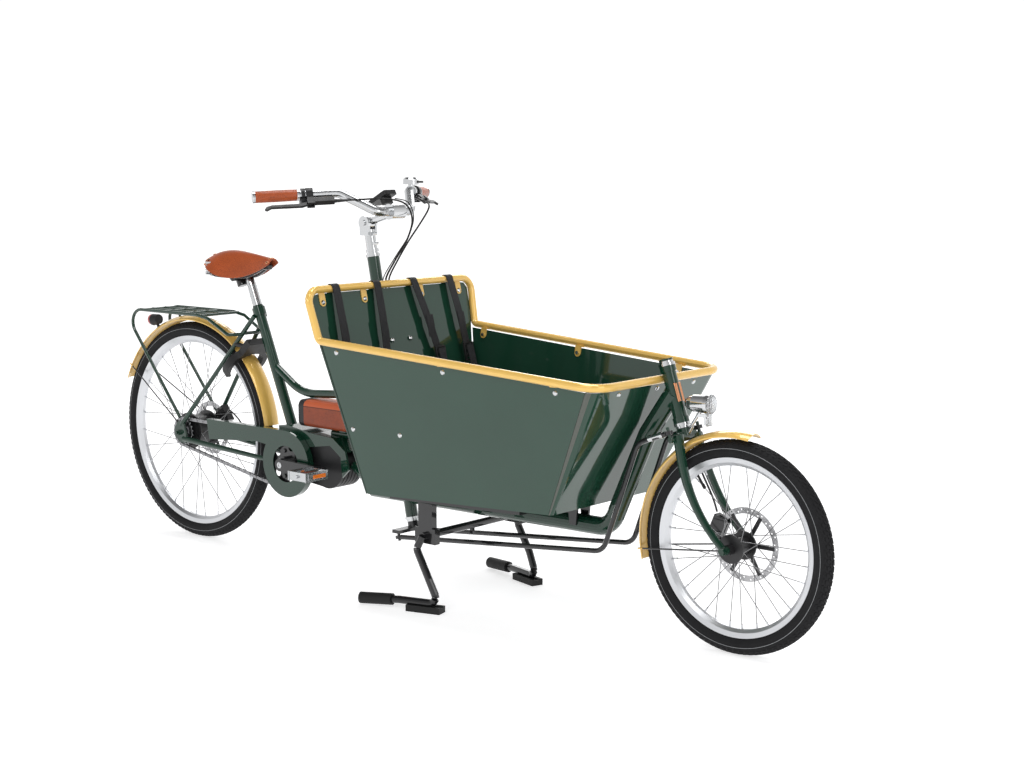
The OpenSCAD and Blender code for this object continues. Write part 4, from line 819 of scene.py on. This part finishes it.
class BICYCLE_OT_saddle(bpy.types.Operator):
    """Form the leather top, its copper rivets, the rails and the coil springs"""
    bl_idname = "bicycle.saddle"
    bl_label = "Saddle"

    def execute(self, context):
        put_down()
        across, along = 28, 26
        bpy.ops.mesh.primitive_grid_add(x_subdivisions=along, y_subdivisions=across, size=1, location=(0, 0, 0))
        hide = context.object
        for v in hide.data.vertices:
            t, s = min(max(v.co.x + 0.5, 0), 1), min(max(v.co.y + 0.5, 0), 1)
            v.co = on_saddle(t, math.pi * s)
        wall = hide.modifiers.new("Wall", "SOLIDIFY")
        wall.thickness = 0.0045
        wall.offset = -1
        tidy_shell(hide)
        apply_all(hide)
        rounding = hide.modifiers.new("Rounding", "BEVEL")
        rounding.width = 0.0012
        rounding.segments = 2
        apply_all(hide)
        subdivided(hide)
        smooth(hide, 60)
        dress(hide, "hide")
        hide.name = "saddle_leather"
        fit(hide, "saddle_post", "leather", "saddle")
        studs = []
        stud = lathe("Stud", [(5.0, -1.2), (5.0, 0.3), (3.8, 1.3), (1.2, 1.8)], 16)
        for t, a in [(0.045, x) for x in (0.28, 0.7, 1.2, math.pi - 1.2, math.pi - 0.7, math.pi - 0.28)] + \
                [(0.965, x) for x in (0.6, 1.3, math.pi - 1.3, math.pi - 0.6)]:
            place = on_saddle(t, a, 0.2)
            out = (on_saddle(t, a, 3.0) - on_saddle(t, a)).normalized()
            studs.append(settle(copy_of(stud), place, facing(out)))
        drop(stud)
        studs = dress(join("saddle_rivets", studs), "copper")
        smooth(studs, 30)
        fit(studs, "saddle_post", "steel")
        mid = saddle_middle()

        def at(x, y, z):
            return mid + Vector((x, y, z)) / 1000

        steel, springs = [], []
        for s in (-1, 1):
            for shift in (0, 9):
                rail = rounded_path([at(-82, s * (36 + shift * 0.6), -31),
                                     at(-58, s * (38 + shift), -38 + shift * 0.2),
                                     at(-20, s * (20 + shift), -40 + shift * 0.2),
                                     at(40, s * (16 + shift * 0.7), -38),
                                     at(88, s * (9 + shift * 0.4), -20), at(110, s * 7, -8)])
                steel.append(tube("Rail", rail, 0.0066, 12))
            put_down()
            bpy.ops.mesh.primitive_circle_add(vertices=10, radius=0.0026, fill_type="NOTHING", location=(0, 0, 0))
            coil = context.object
            settle(coil, Vector((0.013, 0, 0)), Matrix.Rotation(math.pi / 2, 4, "X"))
            wind = coil.modifiers.new("Wind", "SCREW")
            wind.angle = 2 * math.pi * 5
            wind.screw_offset = 0.033
            wind.steps = wind.render_steps = 110
            apply_all(coil)
            tidy_shell(coil)
            smooth(coil, 60)
            springs.append(settle(coil, at(-82, s * 46, -31)))
            for z in (-33.5, 1.0):
                plate = lathe("Plate", [(15, z), (16, z + 1), (16, z + 2.6), (14, z + 3.4)], 28)
                springs.append(settle(plate, at(-82, s * 46, 0)))
        bridge = rounded_path([at(*p) for p in ((-82, -50, 6), (-88, -38, 10), (-92, -16, 13), (-92, 16, 13),
                                                (-88, 38, 10), (-82, 50, 6))])
        steel.append(tube("Bridge", bridge, 0.008, 12))
        lower = rounded_path([at(*p) for p in ((-82, -46, -33), (-78, -24, -37), (-76, 0, -37), (-78, 24, -37),
                                               (-82, 46, -33))])
        steel.append(tube("Yoke", lower, 0.007, 12))
        nose = slab("Nose", (26, 22, 15), 3)
        steel.append(settle(nose, at(113, 0, -6)))
        steel.append(settle(lathe("Bolt", [(5, -18), (5, 16)], 16), at(101, 0, -9), facing((1, 0, 0))))
        top = at(-4, 0, -38)
        clamp = lathe("Clamp", [(11, -31), (13, -29), (13, -20), (11, -18),
                                (11, 18), (13, 20), (13, 29), (11, 31)], 28)
        steel.append(settle(clamp, top, facing((0, 1, 0))))
        for s in (-1, 1):
            nut = lathe("Nut", [(7.5, 0), (7.5, 5), (5, 5), (5, 8)], 6)
            steel.append(settle(nut, top + Vector((0, s * 0.031, 0)), facing((0, s, 0))))
        post_dir = joint_axis("saddle_height")
        collar = lathe("Collar", [(13, -34), (15, -32), (15, -6), (11, 0)], 28)
        steel.append(settle(collar, top + post_dir * 0.004, facing(post_dir)))
        fit(dress(join("saddle_springs", springs), "chrome"), "saddle_post", "chrome")
        whole = dress(join("saddle_rails", steel), "black")
        fit(whole, "saddle_post", "black_steel", "saddle_frame")
        return {"FINISHED"}


class BICYCLE_OT_grips(bpy.types.Operator):
    """Wrap the grips in stitched leather between bright end rings"""
    bl_idname = "bicycle.grips"
    bl_label = "Grips"

    def execute(self, context):
        start = grip_end - grip_dir * 0.119
        body = lathe("Wrap", [(14.4, 2), (15.0, 4), (15.3, 30), (15.6, 58), (15.3, 86), (15.0, 110), (14.4, 112)], 36)
        rings = []
        for z in (-5, 111):
            rings.append(lathe("Ring", [(14.6, z), (15.8, z + 1), (15.8, z + 3), (15.1, z + 3.6),
                                        (15.8, z + 4.2), (15.8, z + 6.6), (14.6, z + 7.6)], 36))
        stitches = []
        stitch = slab("Stitch", (0.9, 0.8, 3.4), 0.35, 1)
        for row in (-1, 1):
            for k in range(22):
                angle = math.radians(205 + row * 7)
                out = Vector((math.cos(angle), math.sin(angle), 0))
                r = 0.01545 + 0.00025 * math.sin(math.pi * k / 21)
                stitches.append(settle(copy_of(stitch), out * r + Vector((0, 0, 0.006 + k * 0.00485)),
                                       Matrix.Rotation(math.radians(8 * row), 4, "Z")))
        drop(stitch)
        wrap = join("Wrap", [dress(body, "hide")])
        rings = join("Rings", rings)
        dress(rings, "chrome")
        thread = join("Thread", stitches)
        dress(thread, "thread")
        for part in (wrap, rings):
            smooth(part, 35)
        whole = join("left_grip", [wrap, rings, thread])
        settle(whole, start, facing(grip_dir, grip_dir.cross(Vector((0, 0, 1)))))
        fit(whole, "bars", "leather", "grips")
        other = copy_of(whole, "right_grip")
        other.parent = None
        other.data.transform(Matrix.Diagonal((1, -1, 1, 1)))
        tidy_shell(other)
        smooth(other, 35)
        fit(other, "bars", "leather", "grips")
        return {"FINISHED"}


def strip(name, path, width, thickness):
    """A flat strap along a path in the X-Z plane, with its width along Y."""
    put_down()
    bpy.ops.mesh.primitive_plane_add(size=1, location=(0, 0, 0))
    piece = bpy.context.object
    piece.name = name
    first, second = path[0], path[1]
    for v in piece.data.vertices:
        end = first if v.co.x < 0 else second
        v.co = Vector((end.x, end.y + (width / 2 if v.co.y > 0 else -width / 2), end.z))
    for a, b in zip(path[1:], path[2:]):
        edit(piece, lambda e, p=a: all((v.co - Vector((p.x, v.co.y, p.z))).length < 1e-6 for v in e.verts), "EDGE")
        bpy.ops.mesh.extrude_region_move(TRANSFORM_OT_translate={"value": tuple(b - a)})
    put_down()
    body = piece.modifiers.new("Body", "SOLIDIFY")
    body.thickness = thickness
    body.offset = 0
    apply_all(piece)
    tidy_shell(piece)
    smooth(piece, 50)
    return piece


class BICYCLE_OT_harness(bpy.types.Operator):
    """Hang the four harness straps over the rim, with their buckles on the backrest"""
    bl_idname = "bicycle.harness"
    bl_label = "Harness"

    def execute(self, context):
        width = context.scene.bicycle_sizes.strap_width
        foot, top = spot(945, 0, 283), spot(824, 0, 808)
        up = (top - foot - Vector((-0.006, 0, 0))).normalized()
        out = Vector((up.z, 0, -up.x))
        webs, buckles = [], []
        web_t = 0.0018
        for y, lean in ((-216, -6), (-66, -14), (74, 46), (216, 18)):
            aside = Vector((0, lean / 1000, 0))
            path = []
            rim = top.copy()
            r = 0.0117
            front = foot + Vector((0.002, 0, 0)) + up * 0.33 + out * 0.011
            back = foot + up * 0.285 - out * 0.0125
            for k in range(6):
                share = k / 5
                sag = 0.004 * math.sin(math.pi * share)
                path.append((front + aside).lerp(rim + out * r, share) + out * sag)
            for k in range(1, 12):
                angle = math.radians(15 * k)
                path.append(rim + r * (out * math.cos(angle) + up * math.sin(angle)))
            path += [rim - out * r, back]
            path = [p + Vector((0, y / 1000, 0)) for p in path]
            webs.append(strip("Web", path, width, web_t))
            front = front + aside
            tail = front.lerp(rim + out * r - aside * 0.5, 0.26)
            across = Vector((0, y / 1000, 0))
            loose = [front + across + out * lift + up * rise
                     for lift, rise in ((0.009, 0.02), (0.013, -0.012), (0.014, -0.05), (0.012, -0.085))]
            fold = [tail + across + out * lift + up * rise
                    for lift, rise in ((0.003, 0), (0.0045, 0.03), (0.0035, 0.06))]
            webs += [strip("Tail", loose, width, web_t), strip("Fold", fold, width * 1.02, web_t)]
            here = front + up * 0.002 + out * 0.004 + across
            turn = facing(out, (0, 1, 0))
            for size, shift in (((38, 6, 7), (0, 22, 0)), ((38, 6, 7), (0, -24, 0)), ((5.5, 46, 7), (-16.5, -1, 0)),
                                ((5.5, 46, 7), (16.5, -1, 0)), ((30, 5, 6), (0, 8, 2)), ((30, 12, 8), (0, -10, 1))):
                bar = slab("Bar", size, 1.4)
                buckles.append(settle(bar, here, turn @ Matrix.Translation(Vector(shift) / 1000)))
            for shift in ((0, 26, 2), (0, 30, 2)):
                rib = slab("Rib", (26, 1.6, 2), 0.5, 1)
                buckles.append(settle(rib, here, turn @ Matrix.Translation(Vector(shift) / 1000)))
        straps = dress(join("harness_straps", webs), "webbing")
        fit(straps, "frame", "webbing", "harness")
        clips = dress(join("harness_buckles", buckles), "plastic")
        smooth(clips, 40)
        fit(clips, "frame", "black_plastic")
        return {"FINISHED"}


class BICYCLE_OT_hoses(bpy.types.Operator):
    """Run the brake hoses and the gear cable from the bar, past the stem, down behind the box"""
    bl_idname = "bicycle.hoses"
    bl_label = "Hoses"

    def execute(self, context):
        thick = context.scene.bicycle_sizes.hose_diameter
        runs = {
            "left_hose": (thick, [(777, 152, 1031), (810, 140, 1024), (846, 122, 1018), (868, 96, 1002),
                                  (866, 66, 966), (850, 38, 920), (824, 22, 868), (800, 14, 820),
                                  (804, 12, 780), (812, 12, 740)]),
            "right_hose": (thick, [(777, -152, 1031), (818, -112, 1034), (862, -60, 1036), (890, -14, 1022),
                                   (892, 10, 980), (870, 12, 926), (830, 5, 868), (800, 2, 820),
                                   (804, 0, 780), (812, 0, 740)]),
            "gear_cable": (0.003, [(812, 27, 1034), (850, 38, 1024), (874, 34, 985), (868, 20, 936), (838, 0, 880),
                                   (802, -10, 822), (804, -12, 780), (812, -12, 740)]),
        }
        pivot = joint_at("stem_tilt")
        first = None
        for name, (diameter, stops) in runs.items():
            path = rounded_path([spot(*s) for s in stops])
            cut = next(i for i, p in enumerate(path) if p.z < 0.932)
            upper, lower = path[:cut + 1], path[cut:]
            for part, places, pair, start, end in (
                    ("upper", upper, ("bars", "stem"), Vector((pivot.x, 0, 1.0)), Vector((pivot.x, 0, 0.94))),
                    ("lower", lower, ("stem", "frame"), Vector((pivot.x, 0, 0.925)), Vector((pivot.x, 0, 0.79)))):
                hose = dress(tube(name + "_" + part, places, diameter), "rubber")
                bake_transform(hose)
                if first is None:
                    first = hose
        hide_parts("hoses")
        ends = []
        for side in (1, -1):
            start, after = (spot(*p) for p in runs["left_hose" if side > 0 else "right_hose"][1][:2])
            sleeve = lathe("Sleeve", [(5, -10), (5, -2), (4.4, -2), (4.4, 6), (3.6, 14), (3.0, 26)], 6)
            ends.append(settle(sleeve, start, facing(after - start)))
        sleeves = dress(join("hose_sleeves", ends), "plastic")
        fit(sleeves, "bars", "black_plastic")
        return {"FINISHED"}


class BICYCLE_OT_lamps(bpy.types.Operator):
    """Add the headlight's reflector and lens, the lamp's red lens and the front reflector"""
    bl_idname = "bicycle.lamps"
    bl_label = "Lamps"

    def execute(self, context):
        middle = spot(1828, 0, 577.5)
        ahead = Vector((0.999, 0, 0.0238)).normalized()
        face = middle + ahead * 0.0276
        bowl = lathe("Bowl", [(22.6, 0), (22.6, 1.2), (21.2, 1.2), (15, 0.6), (8, 0.4), (4.0, 0.3)], 40)
        bowl = settle(bowl, face - ahead * 0.001, facing(ahead))
        smooth(bowl, 40)
        fit(dress(bowl, "mirror"), "fork_assembly", "chrome")
        lens = lathe("lamp_lens", [(22.4, 1.4), (22.0, 2.6), (16, 4.0), (8, 4.9), (2, 5.2)], 40)
        lens = settle(lens, face, facing(ahead))
        smooth(lens, 60)
        fit(dress(lens, "clear"), "fork_assembly", "chrome")
        eye = lathe("lamp_eye", [(5.5, -1.4), (5.5, 0.6), (3.4, 1.4), (1, 1.6)], 20)
        smooth(eye, 40)
        fit(dress(settle(eye, face, facing(ahead)), "alloy"), "fork_assembly", "chrome")
        bowl.name = "lamp_bowl"
        back = slab("lamp_reflector", (34, 26, 3), 2.5, 3)
        settle(back, spot(1850.5, 0, 544), facing(Vector((1, 0, 0.05)), (0, 0, 1)))
        smooth(back, 40)
        fit(dress(back, "clear"), "fork_assembly", "chrome")
        out = Vector((-0.998, 0, -0.06)).normalized()
        tail = spot(-193, 0, 647.5)
        red = lathe("tail_lens", [(17.2, -6), (17.4, 1), (16.4, 5), (11, 8.4), (3, 9.6)], 36)
        smooth(red, 50)
        fit(dress(settle(red, tail + out * 0.015, facing(out)), "red"), "frame", "red_lens")
        return {"FINISHED"}


class BICYCLE_OT_fittings(bpy.types.Operator):
    """Add the head badge, rod ends, display, backrest beads, pedal reflectors, lock barrel and crank caps"""
    bl_idname = "bicycle.fittings"
    bl_label = "Fittings"

    def execute(self, context):
        badge = slab("head_badge", (26, 46, 1.2), 0.5)
        edit(badge, lambda f: f.normal.z > 0.9)
        bpy.ops.mesh.inset(thickness=0.0022, depth=-0.0004)
        put_down()
        middle = head_foot + head_dir * 0.072
        ahead = Vector((head_dir.z, 0, -head_dir.x))
        for v in badge.data.vertices:
            v.co.z -= v.co.x ** 2 / 0.037
        badge = settle(badge, middle + ahead * 0.0192, facing(ahead, (0, 1, 0)))
        smooth(badge, 40)
        fit(dress(badge, "copper"), "frame", "steel")
        for side, s in (("right", -1), ("left", 1)):
            near, far = spot(1768, s * 60, 507), spot(1722, s * 60, 491)
            sleeve = lathe(side + "_rod_end", [(6.6, 0), (8.0, 1), (8.0, 12), (6.8, 13),
                                               (6.8, 34), (8.2, 35), (8.2, 42), (6.9, 43)], 24)
            smooth(sleeve, 30)
            fit(dress(settle(sleeve, far, facing(near - far)), "chrome"), side + "_rod_link", "chrome")
        slope = Matrix.Rotation(math.radians(-28), 4, "Y")
        screen = slab("display_glass", (56, 34, 1.4), 0.6)
        screen = settle(screen, spot(792, 0, 1036), slope @ Matrix.Translation((0.002, 0, 0.0062)))
        fit(dress(screen, "screen"), "bars", "black_plastic")
        keys = [settle(slab("Key", (7, 9, 1.8), 0.8), spot(792, 0, 1036),
                       slope @ Matrix.Translation((-0.031, y / 1000, 0.0062))) for y in (-13, 0, 13)]
        fit(dress(join("display_keys", keys), "rubber"), "bars", "black_plastic")
        beads = []
        for s in (-1, 1):
            edge = [spot(x - 3, s * y, z)
                    for x, y, z in ((941.2, 214, 283), (852, 284, 664), (843.5, 291, 704), (826, 296, 776))]
            beads.append(tube("Bead", edge, 0.0075, 12))
        fit(dress(join("backrest_beads", beads), "green"), "frame", "green_paint")
        for side in ("right", "left"):
            low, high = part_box(side + "_pedal")
            mid = (low + high) / 2
            strips = []
            for end in (-1, 1):
                lens = slab("Lens", (3, 46, 11), 0.8)
                strips.append(settle(lens, Vector((mid.x + end * ((high.x - low.x) / 2 - 0.0005), mid.y, mid.z))))
            fit(dress(join(side + "_pedal_reflectors", strips), "amber"), side + "_pedal_body", "red_lens")
        out = Vector((math.cos(math.radians(45)), 0, math.sin(math.radians(45))))
        lock = joint_at("lock_close")
        key = lathe("lock_barrel", [(9, 0), (9, 3), (7.4, 4), (7.4, 5), (3, 5)], 28)
        smooth(key, 30)
        turn_axis = joint_axis("lock_close")
        aside = turn_axis * 0.0112 * (1 if turn_axis.z < 0 else -1)
        settle(key, lock + out * 0.078 - aside, facing(Vector((-out.z, 0, out.x))))
        fit(dress(key, "chrome"), "frame", "chrome")
        caps = []
        for s in (-1, 1):
            y = s * (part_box("crankset")[1].y if s > 0 else -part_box("crankset")[0].y)
            cap = lathe("Cap", [(9, -2), (9, 0.8), (7.5, 1.6), (4, 1.6), (3.2, 0.2)], 24)
            caps.append(settle(cap, Vector((spindle.x, y, spindle.z)), facing((0, s, 0))))
        caps = dress(join("crank_caps", caps), "alloy")
        smooth(caps, 30)
        fit(caps, "cranks", "alloy")
        return {"FINISHED"}


class BICYCLE_OT_stage(bpy.types.Operator):
    """Lay the floor and hang the studio lights"""
    bl_idname = "bicycle.stage"
    bl_label = "Stage"

    def execute(self, context):
        put_down()
        bpy.ops.mesh.primitive_plane_add(size=80, location=(0, 0, 0))
        floor = context.object
        floor.name = "studio_floor"
        pale = Finish("Studio Floor", Roughness=0.9, Specular_IOR_Level=0.2, Emission_Strength=1.0)
        x, y = pale.place()[:2]
        far = (((x * x + y * y).root() - 1.8) / 3.0).held()
        pale.set(Emission_Color=pale.colour(far, (0.62, 0.62, 0.62), (0.93, 0.93, 0.93)))
        pale.set(Base_Color=pale.colour(pale.grain(2.0), (0.66, 0.66, 0.67), (0.68, 0.68, 0.69)))
        floor.data.materials.append(pale.material)
        world = bpy.data.worlds.new("Studio")
        context.scene.world = world
        world.use_nodes = True
        sky = world.node_tree.nodes["Background"]
        links, make = world.node_tree.links.new, world.node_tree.nodes.new
        where, parts = make("ShaderNodeTexCoord"), make("ShaderNodeSeparateXYZ")
        links(where.outputs["Generated"], parts.inputs[0])
        dome, wall, band = (make("ShaderNodeValToRGB") for _ in range(3))
        for ramp, stops in ((dome, ((0.42, 1.0), (0.8, 0.14))), (wall, ((0.38, 0.34), (0.66, 1.0))),
                            (band, ((0.18, 0.0), (0.42, 1.0)))):
            for element, (place, level) in zip(ramp.color_ramp.elements, stops):
                element.position, element.color = place, (level, level, level, 1)
        links(parts.outputs["Z"], dome.inputs["Fac"])
        turned = make("ShaderNodeVectorMath")
        turned.operation = "DOT_PRODUCT"
        turned.inputs[1].default_value = (-0.33, 0.38, 0)
        shifted = make("ShaderNodeMath")
        shifted.inputs[1].default_value = 0.5
        links(where.outputs["Generated"], turned.inputs[0])
        links(turned.outputs["Value"], shifted.inputs[0])
        links(shifted.outputs[0], wall.inputs["Fac"])
        product = make("ShaderNodeMix")
        product.data_type, product.blend_type = "RGBA", "MULTIPLY"
        links(parts.outputs["Z"], band.inputs["Fac"])
        links(band.outputs["Color"], product.inputs[0])
        links(dome.outputs["Color"], product.inputs[6])
        links(wall.outputs["Color"], product.inputs[7])
        links(product.outputs[2], sky.inputs[0])
        sky.inputs[1].default_value = 1.05
        for name, place, aim, size, power in (
                ("Key", (1.5, -4.5, 4.2), (0.2, 0, 0.5), (3.2, 2.4), 110),
                ("Fill", (5.0, -0.5, 2.6), (0.3, 0, 0.5), (1.6, 3.0), 40),
                ("Back", (-2.5, 4.0, 3.6), (0.2, 0, 0.6), (3.4, 2.0), 80),
                ("Top", (0.3, 0.4, 4.8), (0.3, 0, 0), (3.2, 1.6), 110)):
            bpy.ops.object.light_add(type="AREA", location=place)
            lamp = context.object
            lamp.name = name
            lamp.data.shape = "RECTANGLE"
            lamp.data.size, lamp.data.size_y = size
            lamp.data.energy = power
            lamp.rotation_euler = (Vector(aim) - Vector(place)).to_track_quat("-Z", "Y").to_euler()
        context.scene.view_settings.view_transform = "Standard"
        return {"FINISHED"}


class BICYCLE_PT_panel(bpy.types.Panel):
    """Sizes, colours and pieces of the bicycle"""
    bl_label = "Cargo Bicycle"
    bl_idname = "BICYCLE_PT_panel"
    bl_space_type = "VIEW_3D"
    bl_region_type = "UI"
    bl_category = "Bicycle"

    def draw(self, context):
        column = self.layout.column()
        for group in (context.scene.bicycle_colours, context.scene.bicycle_sizes):
            for name in group.bl_rna.properties.keys():
                if name not in ("rna_type", "name"):
                    column.prop(group, name)
        for operator in OPERATORS:
            column.operator(operator.bl_idname)


OPERATORS = (BICYCLE_OT_camera, BICYCLE_OT_finishes, BICYCLE_OT_hoses, BICYCLE_OT_tyres, BICYCLE_OT_chain,
             BICYCLE_OT_saddle, BICYCLE_OT_grips, BICYCLE_OT_harness, BICYCLE_OT_lamps, BICYCLE_OT_fittings,
             BICYCLE_OT_stage)
CLASSES = (BicycleColours, BicycleSizes, *OPERATORS, BICYCLE_PT_panel)


def register():
    for made in CLASSES:
        bpy.utils.register_class(made)
    bpy.types.Scene.bicycle_colours = bpy.props.PointerProperty(type=BicycleColours)
    bpy.types.Scene.bicycle_sizes = bpy.props.PointerProperty(type=BicycleSizes)


def unregister():
    del bpy.types.Scene.bicycle_colours
    del bpy.types.Scene.bicycle_sizes
    for made in reversed(CLASSES):
        bpy.utils.unregister_class(made)


def main():
    register()
    for operator in OPERATORS:
        group, name = operator.bl_idname.split(".")
        getattr(getattr(bpy.ops, group), name)()
    put_down()


if __name__ == "__main__":
    main()
